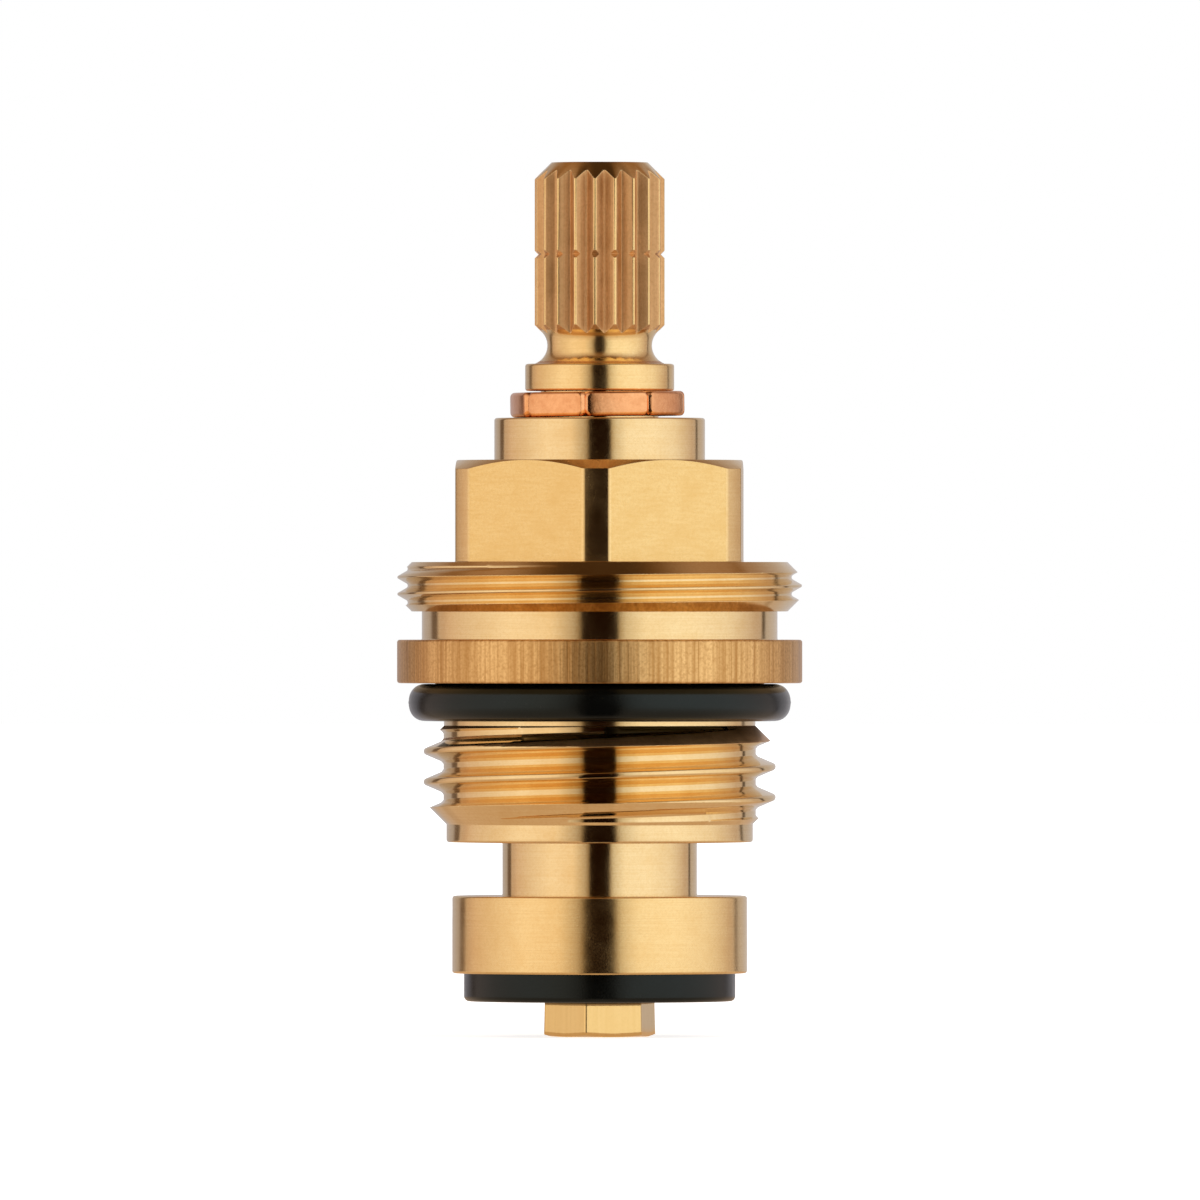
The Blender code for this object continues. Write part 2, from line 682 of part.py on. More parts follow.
def make_thrust_washer(material, parts):
    """The slip ring between the spindle's shoulder and the body."""
    bottom = thrust_washer_top - THRUST_WASHER_THICKNESS
    inner = JOURNAL_RADIUS + SEAT_GAP
    return turned("thrust_washer", [
        (shoulder_radius, thrust_washer_top),
        (shoulder_radius, bottom),
        (inner, bottom),
        (inner, thrust_washer_top),
    ], SEAL_FACETS, material, parts)


def make_piston(material, parts, cutters):
    """The hexagonal nut, the sealed shaft and the washer's cup, in one turned piece."""
    floor = seal_groove_floor(piston_bore)
    piston = turned("piston", [
        (0, piston_bore_floor),
        (spindle_clearance, piston_bore_floor),
        (spindle_clearance, nut_bottom),
        (nut_radius, nut_bottom),
        (nut_radius, piston_top - BORE_CHAMFER),
        (nut_radius + BORE_CHAMFER, piston_top),
        (piston_hex_corner - BORE_CHAMFER, piston_top),
        (piston_hex_corner, piston_top - BORE_CHAMFER),
        (piston_hex_corner, shaft_top),
        (piston_shaft_radius, shaft_top),
        *seal_groove(piston_shaft_radius, floor, piston_seal),
        (piston_shaft_radius, carrier_top),
        (carrier_radius, carrier_top, EDGE),
        (carrier_radius, carrier_bottom, EDGE),
        (cup_radius, carrier_bottom),
        (cup_radius, cup_floor),
        (screw_hole, cup_floor),
        (screw_hole, screw_hole_top),
        (0, screw_hole_top),
    ], PISTON_FACETS, material, parts)

    hexagon = polygon(6, piston_hex_across * HEX_CORNER, HEX_TURN)
    cut(piston, ring_cutter(
        "piston_hexagon_cutter", hexagon, piston_shaft_radius + AIR, shaft_top + PISTON_HEX_RUNOUT,
        piston_top + AIR, cutters))

    ridge_at_root = DRIVE_CREST + 2 * DRIVE_DEPTH * math.tan(DRIVE_FLANK)
    half_width = ridge_at_root / 2 + RUNNING_GAP - (nut_radius - drive_root) * math.tan(DRIVE_FLANK)
    groove_depth = DRIVE_RADIUS + RUNNING_GAP - nut_radius
    section = inside_groove(nut_radius, groove_depth, half_width, DRIVE_FLANK)
    cut(piston, helical_cutter(
        "nut_thread_cutter", section, DRIVE_LEAD, LEFT_HAND, DRIVE_LEAD / 2,
        nut_bottom - half_width - CUT_MARGIN,
        piston_top + half_width + CUT_MARGIN,
        SPINDLE_FACETS, cutters))
    return piston


def make_valve_washer(material, parts):
    """The rubber washer that closes the tap's seat."""
    hole = SCREW_RADIUS + RUNNING_GAP
    return turned("valve_washer", [
        (VALVE_WASHER_RADIUS, valve_washer_top),
        (VALVE_WASHER_RADIUS, valve_washer_bottom, EDGE),
        (hole, valve_washer_bottom),
        (hole, valve_washer_top),
    ], SEAL_FACETS, material, parts)


def make_washer_screw(material, parts, cutters):
    """The hexagon screw that clamps the washer in its cup."""
    corner = SCREW_HEAD_ACROSS * HEX_CORNER
    trimmed = corner - SCREW_HEAD_TRIM
    tip = screw_hole_top - SCREW_TIP_PLAY
    screw = turned("washer_screw", [
        (0, tip),
        (SCREW_RADIUS, tip, BORE_CHAMFER),
        (SCREW_RADIUS, screw_head_top),
        (trimmed, screw_head_top),
        (trimmed, screw_bottom, BORE_CHAMFER),
        (0, screw_bottom),
    ], CUTTER_FACETS, material, parts)
    hexagon = polygon(6, corner, SCREW_HEAD_TURN)
    cut(screw, ring_cutter(
        "screw_head_cutter", hexagon, corner + AIR, screw_bottom - AIR, screw_head_top + AIR, cutters))
    return screw


def make_seals(material, parts):
    """The three rings inside, and the one under the flange, which is a little taller than wide."""
    o_ring("upper_o_ring", boss_bore - SEAT_GAP, SEAL_SECTION, upper_seal, SEAL_FACETS, material, parts)
    o_ring("lower_o_ring", boss_bore - SEAT_GAP, SEAL_SECTION, lower_seal, SEAL_FACETS, material, parts)
    o_ring("piston_o_ring", piston_bore - SEAT_GAP, SEAL_SECTION, piston_seal, SEAL_FACETS, material, parts)
    ring = o_ring(
        "flange_o_ring", flange_seal_radius, FLANGE_SEAL_WIDTH, flange_seal, BODY_FACETS, material, parts)
    for vertex in ring.data.vertices:
        vertex.co.z *= FLANGE_SEAL_HEIGHT / FLANGE_SEAL_WIDTH


def parent_to_axis(name, children, collection):
    """Give pieces that move together an empty on their axis."""
    axis = bpy.data.objects.new(name, None)
    collection.objects.link(axis)
    for child in children:
        bpy.data.objects[child].parent = axis


def main():
    """Build the faucet stem."""
    clear_scene()
    parts = new_collection("faucet_stem")
    cutters = new_collection("faucet_stem_cutters")
    body_brass = new_material("body_brass", (0.80, 0.58, 0.29), 0.28, 1.0)
    spindle_brass = new_material("spindle_brass", (0.76, 0.53, 0.27), 0.35, 1.0)
    piston_brass = new_material("piston_brass", (0.78, 0.57, 0.31), 0.32, 1.0)
    screw_brass = new_material("screw_brass", (0.74, 0.52, 0.28), 0.35, 1.0)
    copper = new_material("copper", (0.80, 0.42, 0.26), 0.3, 1.0)
    rubber = new_material("rubber", (0.02, 0.022, 0.022), 0.5, 0.0)
    washer_rubber = new_material("washer_rubber", (0.015, 0.016, 0.016), 0.6, 0.0)
    slip_plastic = new_material("slip_plastic", (0.8, 0.8, 0.76), 0.5, 0.0)

    make_body(body_brass, parts, cutters)
    make_spindle(spindle_brass, parts, cutters)
    make_clip(copper, parts)
    make_thrust_washer(slip_plastic, parts)
    make_piston(piston_brass, parts, cutters)
    make_valve_washer(washer_rubber, parts)
    make_washer_screw(screw_brass, parts, cutters)
    make_seals(rubber, parts)

    turning = ["spindle", "retaining_clip", "upper_o_ring", "lower_o_ring", "thrust_washer"]
    sliding = ["piston", "piston_o_ring", "valve_washer", "washer_screw"]
    parent_to_axis("spindle_axis", turning, parts)
    parent_to_axis("piston_axis", sliding, parts)


main()
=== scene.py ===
"""Looks of the faucet stem: finely turned brass, a copper clip and black rubber in a pale studio.

Metres, +Z up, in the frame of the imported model. The photographed side is -Y.
"""

import math

import bmesh
import bpy
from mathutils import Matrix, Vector


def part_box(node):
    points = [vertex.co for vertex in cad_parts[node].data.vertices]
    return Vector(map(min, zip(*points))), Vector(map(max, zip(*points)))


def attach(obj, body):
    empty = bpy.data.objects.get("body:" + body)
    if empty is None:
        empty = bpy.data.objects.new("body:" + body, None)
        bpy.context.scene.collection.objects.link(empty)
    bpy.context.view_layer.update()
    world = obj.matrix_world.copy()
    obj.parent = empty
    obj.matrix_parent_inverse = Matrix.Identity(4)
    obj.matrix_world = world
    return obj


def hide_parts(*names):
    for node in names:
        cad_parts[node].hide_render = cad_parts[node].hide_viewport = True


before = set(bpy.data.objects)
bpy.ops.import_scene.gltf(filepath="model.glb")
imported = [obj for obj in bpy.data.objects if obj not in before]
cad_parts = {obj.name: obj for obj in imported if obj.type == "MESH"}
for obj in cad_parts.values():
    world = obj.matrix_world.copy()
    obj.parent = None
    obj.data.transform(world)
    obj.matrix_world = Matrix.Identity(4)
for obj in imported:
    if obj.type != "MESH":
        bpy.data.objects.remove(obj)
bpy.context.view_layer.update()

MM = 0.001
FRONT = math.radians(-90)
RIGHT_HAND = 1
LEFT_HAND = -1
WELD = 0.0005 * MM
FINE_EDGE = 0.07 * MM
SOFT_EDGE = 0.15 * MM
BORE_CHAMFER = 0.3 * MM
FILLET_REACH = 0.45
SHARP_ANGLE = math.radians(28)
METRIC_FLANK = math.radians(30)
# Corner radius of a hexagon that is 1 across its flats
HEX_CORNER = 1 / math.sqrt(3)

# Columns of points round the axis
BODY_COLUMNS = 360
RING_COLUMNS = 256
TURNED_COLUMNS = 240
SCREW_COLUMNS = 180

# Slopes of faces, by the z of their normals
LEVEL_FACE = 0.95
CHAMFER_FACE = 0.3
CONE_FACE = (0.6, 0.8)
FOOT_FACE = 0.8
GROOVE_FACE = 0.5

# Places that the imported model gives
body_low, body_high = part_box("body")
spindle_low, spindle_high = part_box("spindle")
clip_low, clip_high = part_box("retaining_clip")
ring_low, ring_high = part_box("flange_o_ring")
piston_low, piston_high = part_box("piston")
washer_low, washer_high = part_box("valve_washer")
screw_low, screw_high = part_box("washer_screw")

# Body, outside
BOSS_RADIUS = 6.25 * MM
BOSS_HEIGHT = 2.5 * MM
HEX_ACROSS = 16.95 * MM
HEX_CORNER_TRIM = 0.436 * MM
HEX_HEIGHT = 6.05 * MM
HEX_TOP_INSET = 0.05 * MM
HEX_CHAMFER_ANGLE = math.radians(30)
HEX_TURN = FRONT + math.radians(-1.2)
HEX_EDGE_ANGLE = math.radians(0.4)
HEX_CORNER_BAND = 0.02 * MM
COVER_THREAD_RADIUS = 12.0 * MM
COVER_THREAD_LENGTH = 2.93 * MM
COVER_THREAD_CHAMFER = 0.85 * MM
COVER_THREAD_PITCH = 1.0 * MM
COVER_THREAD_DEPTH = 0.613 * MM
COVER_THREAD_CREST = 0.116 * MM
COVER_THREAD_PHASE = 5.28 * MM
UNDERCUT_RADIUS = 10.55 * MM
UNDERCUT_HEIGHT = 1.68 * MM
NECK_RADIUS = 9.24 * MM
NECK_CONE = 0.55 * MM
NECK_BOTTOM = -2.52 * MM
TAP_THREAD_RADIUS = 10.45 * MM
TAP_THREAD_LENGTH = 5.85 * MM
TAP_THREAD_PITCH = 1.814 * MM
TAP_THREAD_DEPTH = TAP_THREAD_RADIUS - NECK_RADIUS
TAP_THREAD_FLANK = math.radians(23)
TAP_THREAD_ROUNDING = 0.20 * MM
TAP_THREAD_CREST = 0.302 * MM
TAP_THREAD_PHASE = -4.048 * MM
PILOT_RADIUS = 9.10 * MM

# Body, inside
BOSS_BORE = 4.52 * MM
BOSS_BORE_LENGTH = 4.9 * MM
CHAMBER_RADIUS = 5.05 * MM
CHAMBER_LENGTH = 1.0 * MM
RELIEF_RADIUS = 5.95 * MM
RELIEF_LENGTH = 1.83 * MM
GUIDE_ACROSS = 10.1 * MM
GUIDE_BOTTOM = -0.97 * MM
PISTON_BORE = 5.88 * MM

# Spindle
SPLINE_RADIUS = 3.86 * MM
SPLINE_VALLEY = 3.35 * MM
SPLINE_ROUNDING = 0.12 * MM
SPLINE_LAND = 0.13 * MM
SPLINE_TEETH = 20
SPLINE_TURN = FRONT + math.radians(-4.2)
SPLINE_EDGE_ANGLE = math.radians(0.35)
VALLEY_SHARES = (0.14, 0.28, 0.44, 0.62, 0.82)
SPLINE_TOP_CHAMFER = 1.0 * MM
SPLINE_FOOT_CHAMFER = 0.30 * MM
SNAP_GROOVE_DROP = 5.46 * MM
SNAP_GROOVE_DEPTH = 0.23 * MM
SPINDLE_RISE = 11.95 * MM
WAIST_RADIUS = 3.10 * MM
WAIST_ROUNDING = 1.15 * MM
WAIST_RISE = 1.09 * MM
COLLAR_HEIGHT = 1.61 * MM
JOURNAL_RADIUS = 4.42 * MM
CLIP_GROOVE_RADIUS = 3.5 * MM
CLIP_GROOVE_FOOT = 0.15 * MM
SHOULDER_RADIUS = 4.95 * MM
SHOULDER_TOP = 10.33 * MM
SHOULDER_BOTTOM = 9.0 * MM
HANDLE_HOLE_RADIUS = 2.1 * MM
HANDLE_HOLE_DEPTH = 10.0 * MM
HANDLE_THREAD_PITCH = 0.8 * MM
HANDLE_THREAD_DEPTH = 0.4 * MM
HANDLE_THREAD_CREST = HANDLE_THREAD_PITCH / 4
HANDLE_THREAD_LENGTH = 7.0 * MM
DRIVE_RADIUS = 3.5 * MM
DRIVE_ROOT = 2.7 * MM
DRIVE_LEAD = 2.5 * MM
DRIVE_CREST = 0.9 * MM
DRIVE_FLANK = math.radians(15)
DRIVE_DEPTH = DRIVE_RADIUS - DRIVE_ROOT
DRIVE_NECK = DRIVE_ROOT - 0.05 * MM

# Seals and their grooves
SEAL_WIDTH = 1.4 * MM
SPINDLE_SEAL_FLOOR = 3.22 * MM
PISTON_SEAL_FLOOR = 4.58 * MM
UPPER_SEAL_DROP = 1.45 * MM
LOWER_SEAL_DROP = 3.6 * MM
PISTON_SEAL_DROP = 1.75 * MM

# Retaining clip
CLIP_LOBES = 8
CLIP_TURN = FRONT + math.radians(-8.5) + math.pi
CLIP_GAP_ANGLE = math.radians(16)
CLIP_RADIUS = 5.25 * MM
CLIP_INNER_RADIUS = 3.72 * MM
CLIP_ROUNDNESS = 0.45
CLIP_SWELL = 0.07 * MM
CLIP_NOTCH_DEPTH = 0.17 * MM
CLIP_NOTCH_WIDTH = 0.12 * MM
CLIP_ROUNDING = 0.24 * MM
CLIP_TILT = math.radians(0.65)
CLIP_SHIFT = -0.14 * MM
CLIP_LIFT = 0.03 * MM

# Piston, valve washer and screw
SHAFT_RADIUS = 5.78 * MM
SHAFT_LENGTH = 8.34 * MM
CARRIER_RADIUS = 8.75 * MM
CARRIER_HEIGHT = 4.6 * MM
CUP_RADIUS = 8.15 * MM
CUP_DEPTH = 1.6 * MM
SCREW_HOLE_RADIUS = 2.0 * MM
SCREW_HOLE_DEPTH = 3.5 * MM
PISTON_WEB = 2.3 * MM
PISTON_HEX_ACROSS = 9.9 * MM
PISTON_HEX_TRIM = 0.06 * MM
PISTON_HEX_RUNOUT = 0.2 * MM
NUT_RADIUS = 2.8 * MM
NUT_LENGTH = 8.0 * MM
NUT_CLEARANCE = 3.7 * MM
RUNNING_GAP = 0.1 * MM
WASHER_RIM = 1.5 * MM
SCREW_RADIUS = 1.95 * MM
HEAD_ACROSS = 5.98 * MM
HEAD_HEIGHT = 2.05 * MM
HEAD_TRIM = 0.03 * MM
HEAD_BEVEL = math.radians(8)
HEAD_DRAFT = math.radians(1.2)
HEAD_TURN = FRONT + math.radians(-14.3)

# Levels, radii and angles that follow
flange_radius = body_high[0]
boss_top = body_high[2]
body_bottom = body_low[2]
hex_top = boss_top - BOSS_HEIGHT
cover_thread_top = hex_top - HEX_HEIGHT
undercut_top = cover_thread_top - COVER_THREAD_LENGTH
flange_top = undercut_top - UNDERCUT_HEIGHT
tap_thread_bottom = NECK_BOTTOM - TAP_THREAD_LENGTH
thrust_ledge = boss_top - BOSS_BORE_LENGTH
chamber_bottom = thrust_ledge - CHAMBER_LENGTH
guide_top = chamber_bottom - RELIEF_LENGTH
spindle_top = spindle_high[2]
spindle_bottom = spindle_low[2]
collar_top = spindle_top - SPINDLE_RISE
collar_bottom = collar_top - COLLAR_HEIGHT
piston_top = piston_high[2]
carrier_bottom = piston_low[2]
carrier_top = carrier_bottom + CARRIER_HEIGHT
shaft_top = carrier_top + SHAFT_LENGTH
cup_floor = carrier_bottom + CUP_DEPTH
screw_hole_top = cup_floor + SCREW_HOLE_DEPTH
head_top = screw_low[2] + HEAD_HEIGHT
hex_corner = HEX_ACROSS * HEX_CORNER - HEX_CORNER_TRIM
half_tooth = math.pi / SPLINE_TEETH
spline_edge = half_tooth - SPLINE_LAND / 2 / SPLINE_RADIUS
screw_corner = HEAD_ACROSS * HEX_CORNER - HEAD_TRIM

# Looks. Colours are linear, and a metal has a pale and a deep one
BRASS = ((0.92, 0.705, 0.385), (0.80, 0.53, 0.22))
SATIN = ((0.95, 0.70, 0.34), (0.82, 0.52, 0.20))
FLAT = ((0.88, 0.62, 0.27), (0.78, 0.50, 0.18))
RIM = ((0.90, 0.58, 0.25), (0.46, 0.22, 0.06))
SPLINE = ((0.82, 0.51, 0.25), (0.50, 0.25, 0.09))
COPPER = ((0.98, 0.50, 0.24), (0.66, 0.24, 0.08))
RUBBER_BLACK = (0.003, 0.0035, 0.0032)
RUBBER_DUST = (0.022, 0.024, 0.023)
RUBBER_SHEEN = (0.84, 1.0, 1.0)
ACETAL = (0.78, 0.77, 0.72)
ACETAL_DEEP = (0.66, 0.64, 0.58)

# How the marks of a metal are drawn out, and their sizes
EVEN = (1.0, 1.0, 1.0)
RINGS = (0.01, 0.01, 1.0)
SHORT_MARKS = (0.14, 0.14, 1.0)
STREAKS = (1.0, 1.0, 0.015)
TURNING_GRAIN = 0.06 * MM
MOTTLE_SIZE = 0.16 * MM
MOTTLE_DEPTH = 0.0009 * MM
STAIN_SIZE = 1.6 * MM
SPECK_SIZE = 0.055 * MM
WORN_EDGE = 0.05 * MM


def interpolate(pairs, position):
    """The value at a position, from pairs of (position, value) in rising order."""
    if position <= pairs[0][0]:
        return pairs[0][1]
    for (before, low), (after, high) in zip(pairs, pairs[1:]):
        if position <= after:
            return low + (high - low) * (position - before) / max(after - before, 1e-12)
    return pairs[-1][1]


def fillet(corners, steps=4):
    """Points of an open outline whose corners are (r, z), or (r, z, rounding) where an edge is rounded."""
    points = []
    for index, corner in enumerate(corners):
        here = Vector(corner[:2])
        if len(corner) == 2:
            points.append(here)
            continue
        before = Vector(corners[index - 1][:2]) - here
        after = Vector(corners[index + 1][:2]) - here
        half_angle = before.angle(after) / 2
        reach = min(corner[2] / math.tan(half_angle), FILLET_REACH * min(before.length, after.length))
        radius = reach * math.tan(half_angle)
        inward = (before.normalized() + after.normalized()).normalized()
        centre = here + inward * (radius / math.sin(half_angle))
        start = here + before.normalized() * reach - centre
        end = here + after.normalized() * reach - centre
        for step in range(steps + 1):
            along = start.lerp(end, step / steps)
            points.append(centre + along.normalized() * radius)
    return points


def even_angles(count, turn=0.0):
    """Angles all the way round, from turn."""
    return [turn + math.tau * step / count for step in range(count)]


def hex_radius(angle, across, turn):
    """Radius of a hexagon at an angle. One of its corners is at turn."""
    from_flat = (angle - turn) % (math.pi / 3) - math.pi / 6
    return across / 2 / math.cos(from_flat)


def skin(cage, angles, columns, shift=0, closed=True):
    """Faces between columns of (r, z) points at angles round the axis.

    Where rows follow a helix, the last column meets the first a number of rows further on.
    """
    grid = []
    for angle, column in zip(angles, columns):
        cosine = math.cos(angle)
        sine = math.sin(angle)
        grid.append([cage.verts.new((r * cosine, r * sine, z)) for r, z in column])
    last = len(grid[0]) - 1
    pairs = [(left, right, 0) for left, right in zip(grid, grid[1:])]
    if closed:
        pairs.append((grid[-1], grid[0], shift))
    for left, right, ahead in pairs:
        for row in range(last):
            near = min(max(row + ahead, 0), last)
            far = min(max(row + 1 + ahead, 0), last)
            corners = [left[row], left[row + 1], right[far], right[near]]
            if near == far:
                corners.pop()
            cage.faces.new(corners)


def mesh_of(cage, name):
    """The mesh of a cage that is done with."""
    mesh = bpy.data.meshes.new(name)
    cage.to_mesh(mesh)
    cage.free()
    return mesh


def finish_cage(cage, name):
    """Weld the sections of a cage and turn its faces outwards. Returns the mesh."""
    bmesh.ops.remove_doubles(cage, verts=cage.verts, dist=WELD)
    bmesh.ops.dissolve_degenerate(cage, edges=cage.edges, dist=WELD / 4)
    bmesh.ops.recalc_face_normals(cage, faces=cage.faces)
    return mesh_of(cage, name)


def add_object(name, data):
    """An object of a mesh or a camera, in the scene."""
    item = bpy.data.objects.new(name, data)
    bpy.context.scene.collection.objects.link(item)
    return item


def add_piece(name, mesh, node, body, materials, material_at=None):
    """A piece that stands for a CAD node, smooth between its sharp edges."""
    piece = add_object(name, mesh)
    for material in materials:
        mesh.materials.append(material)
    if material_at:
        for face in mesh.polygons:
            face.material_index = material_at(face)
    mesh.shade_smooth()
    mesh.set_sharp_from_angle(angle=SHARP_ANGLE)
    weighted = piece.modifiers.new("Even shading", "WEIGHTED_NORMAL")
    weighted.keep_sharp = True
    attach(piece, body)
    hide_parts(node)
    return piece


def groove_section(pitch, crest, depth, flank_angle, rounding, steps=5):
    """One pitch of a turned thread as (share of the pitch, share of the depth), from crest to crest.

    Straight flanks run into a round root. The rounding is that of the crest's edges.
    """
    tip = (pitch - crest) / 2
    point = tip / math.tan(flank_angle)
    root_rounding = (point - depth) / (1 / math.sin(flank_angle) - 1)
    outline = fillet([
        (-tip - crest, 0.0),
        (-tip, 0.0, rounding),
        (0.0, point, root_rounding),
        (tip, 0.0, rounding),
        (tip + crest, 0.0),
    ], steps)
    section = [(-0.5, 0.0)]
    for start, end in zip(outline[1:-1], outline[2:-1]):
        parts = max(1, round((end - start).length * steps / depth))
        for part in range(parts):
            across, down = start.lerp(end, part / parts)
            section.append((across / pitch, down / depth))
    return section + [(outline[-2][0] / pitch, outline[-2][1] / depth)]


def straight_section(crest_share, root_share, steps=3):
    """One pitch of a thread with straight flanks, from crest to crest."""
    tip = 0.5 - crest_share / 2
    root = root_share / 2
    section = [(-0.5, 0.0), (-tip, 0.0)]
    section += [(-tip + (tip - root) * step / steps, step / steps) for step in range(1, steps + 1)]
    section += [(root + (tip - root) * step / steps, 1 - step / steps) for step in range(steps + 1)]
    return section


def helical_columns(angles, section, pitch, hand, phase, blank, crest, root, trimmed=False):
    """Columns whose rows follow a thread that is cut into a turned blank, from its top down.

    The blank is pairs of (level, radius) from the bottom up, and crest and root are the thread's radii.
    trimmed moves a row to each place where the thread meets the blank. It suits close rows only.
    The columns come with the number of rows by which the last meets the first.
    """
    low = blank[0][0]
    high = blank[-1][0]
    keep = min if crest > root else max
    first = math.floor((low - phase) / pitch) - 2
    last = math.ceil((high - phase) / pitch) + 2
    marks = [(cycle + share) * pitch + phase for cycle in range(first, last + 1) for share, _ in section]
    marks.reverse()
    pairs = section + [(0.5, section[0][1])]

    def radii(level, climb):
        """Radii of the blank and of the endless thread at a level."""
        share = (level - climb - phase) / pitch
        depth = interpolate(pairs, share - math.floor(share + 0.5))
        return interpolate(blank, level), crest + (root - crest) * depth

    columns = []
    for angle in angles:
        climb = hand * pitch * angle / math.tau
        levels = [min(max(mark + climb, low), high) for mark in marks]
        over = [blank_radius - cut for blank_radius, cut in (radii(level, climb) for level in levels)]
        for row in range(len(levels) - 1):
            if trimmed and over[row] * over[row + 1] < 0:
                share = over[row] / (over[row] - over[row + 1])
                inner = [near for near in (row, row + 1) if low < levels[near] < high]
                meeting = levels[row] + share * (levels[row + 1] - levels[row])
                if inner:
                    levels[min(inner, key=lambda near: abs(levels[near] - meeting))] = meeting
        columns.append([(keep(radii(level, climb)), level) for level in levels])
    return columns, -hand * len(section)


def add_thread(cage, angles, helix, above, below):
    """Faces of a thread, and of the turning whose points come before and after its columns."""
    columns, shift = helix
    skin(cage, angles, columns, shift)
    skin(cage, angles, [above + column[:1] for column in columns])
    skin(cage, angles, [column[-1:] + below for column in columns])


def add_outside_thread(cage, angles, section, pitch, phase, crest, root, top, bottom):
    """A thread on the body between two (radius, level), from which 45 degree cones rise to its crests."""
    blank = [
        bottom[::-1],
        (bottom[1] + (crest - bottom[0]), crest),
        (top[1] - (crest - top[0]), crest),
        top[::-1],
    ]
    helix = helical_columns(angles, section, pitch, RIGHT_HAND, phase, blank, crest, root, trimmed=True)
    add_thread(cage, angles, helix, [top], [bottom])


def positive(angles):
    """The same angles between 0 and a full turn, in rising order."""
    return sorted(angle % math.tau for angle in angles)


def hex_angles(across, corner, turn, count):
    """Columns all the way round. Each edge of a hexagon's flats has a narrow facet."""
    flat_half = math.acos(across / 2 / corner)
    edges = []
    for side in range(6):
        middle = turn + math.pi / 6 + side * math.pi / 3
        edges += [middle - flat_half, middle + flat_half]
    angles = []
    for angle in even_angles(count, turn):
        nearest = min(abs((angle - edge + math.pi) % math.tau - math.pi) for edge in edges)
        if nearest > 1.5 * HEX_EDGE_ANGLE:
            angles.append(angle)
    for edge in edges:
        angles += [edge - HEX_EDGE_ANGLE, edge + HEX_EDGE_ANGLE]
    return positive(angles)


def body_top_column(angle):
    """Outside of the body from the boss down to the cover thread, at one angle."""
    chamfer_radius = HEX_ACROSS / 2 - HEX_TOP_INSET
    radius = min(hex_radius(angle, HEX_ACROSS, HEX_TURN), hex_corner)
    drop = (radius - chamfer_radius) * math.tan(HEX_CHAMFER_ANGLE)
    return fillet([
        (BOSS_BORE + BORE_CHAMFER, boss_top),
        (BOSS_RADIUS, boss_top, SOFT_EDGE),
        (BOSS_RADIUS, hex_top),
        (chamfer_radius, hex_top),
        (radius, hex_top - drop, FINE_EDGE / 2),
        (radius, cover_thread_top, FINE_EDGE),
        (COVER_THREAD_RADIUS - COVER_THREAD_CHAMFER, cover_thread_top),
    ])


def body_middle_column():
    """Outside of the body from the cover thread down to the tap thread."""
    return fillet([
        (COVER_THREAD_RADIUS - COVER_THREAD_CHAMFER, undercut_top),
        (UNDERCUT_RADIUS, undercut_top),
        (UNDERCUT_RADIUS, flange_top, FINE_EDGE),
        (flange_radius, flange_top, SOFT_EDGE),
        (flange_radius, 0, SOFT_EDGE),
        (NECK_RADIUS + NECK_CONE, 0),
        (NECK_RADIUS, -NECK_CONE),
        (NECK_RADIUS, NECK_BOTTOM),
    ])


def body_inner_column(angle):
    """The pilot and the inside of the body, up to the boss, at one angle."""
    guide = hex_radius(angle, GUIDE_ACROSS, HEX_TURN)
    return fillet([
        (PILOT_RADIUS, tap_thread_bottom),
        (PILOT_RADIUS, body_bottom, SOFT_EDGE),
        (PISTON_BORE + BORE_CHAMFER, body_bottom),
        (PISTON_BORE, body_bottom + BORE_CHAMFER),
        (PISTON_BORE, GUIDE_BOTTOM),
        (guide, GUIDE_BOTTOM),
        (guide, guide_top),
        (RELIEF_RADIUS, guide_top),
        (RELIEF_RADIUS, chamber_bottom),
        (CHAMBER_RADIUS, chamber_bottom),
        (CHAMBER_RADIUS, thrust_ledge),
        (BOSS_BORE, thrust_ledge),
        (BOSS_BORE, boss_top - BORE_CHAMFER),
        (BOSS_BORE + BORE_CHAMFER, boss_top),
    ])


def body_mesh():
    """The body with its hexagon, two outside threads and stepped bore."""
    cage = bmesh.new()
    angles = hex_angles(HEX_ACROSS, hex_corner, HEX_TURN, BODY_COLUMNS)
    skin(cage, angles, [body_top_column(angle) for angle in angles])

    cover_low = COVER_THREAD_RADIUS - COVER_THREAD_CHAMFER
    cover_section = groove_section(
        COVER_THREAD_PITCH, COVER_THREAD_CREST, COVER_THREAD_DEPTH, METRIC_FLANK, FINE_EDGE)
    add_outside_thread(
        cage, angles, cover_section, COVER_THREAD_PITCH, COVER_THREAD_PHASE, COVER_THREAD_RADIUS,
        COVER_THREAD_RADIUS - COVER_THREAD_DEPTH, (cover_low, cover_thread_top), (cover_low, undercut_top))

    skin(cage, angles, [body_middle_column()] * len(angles))

    tap_section = groove_section(
        TAP_THREAD_PITCH, TAP_THREAD_CREST, TAP_THREAD_DEPTH, TAP_THREAD_FLANK, TAP_THREAD_ROUNDING)
    add_outside_thread(
        cage, angles, tap_section, TAP_THREAD_PITCH, TAP_THREAD_PHASE, TAP_THREAD_RADIUS, NECK_RADIUS,
        (NECK_RADIUS, NECK_BOTTOM), (PILOT_RADIUS, tap_thread_bottom))

    skin(cage, angles, [body_inner_column(angle) for angle in angles])
    return finish_cage(cage, "body_turned")


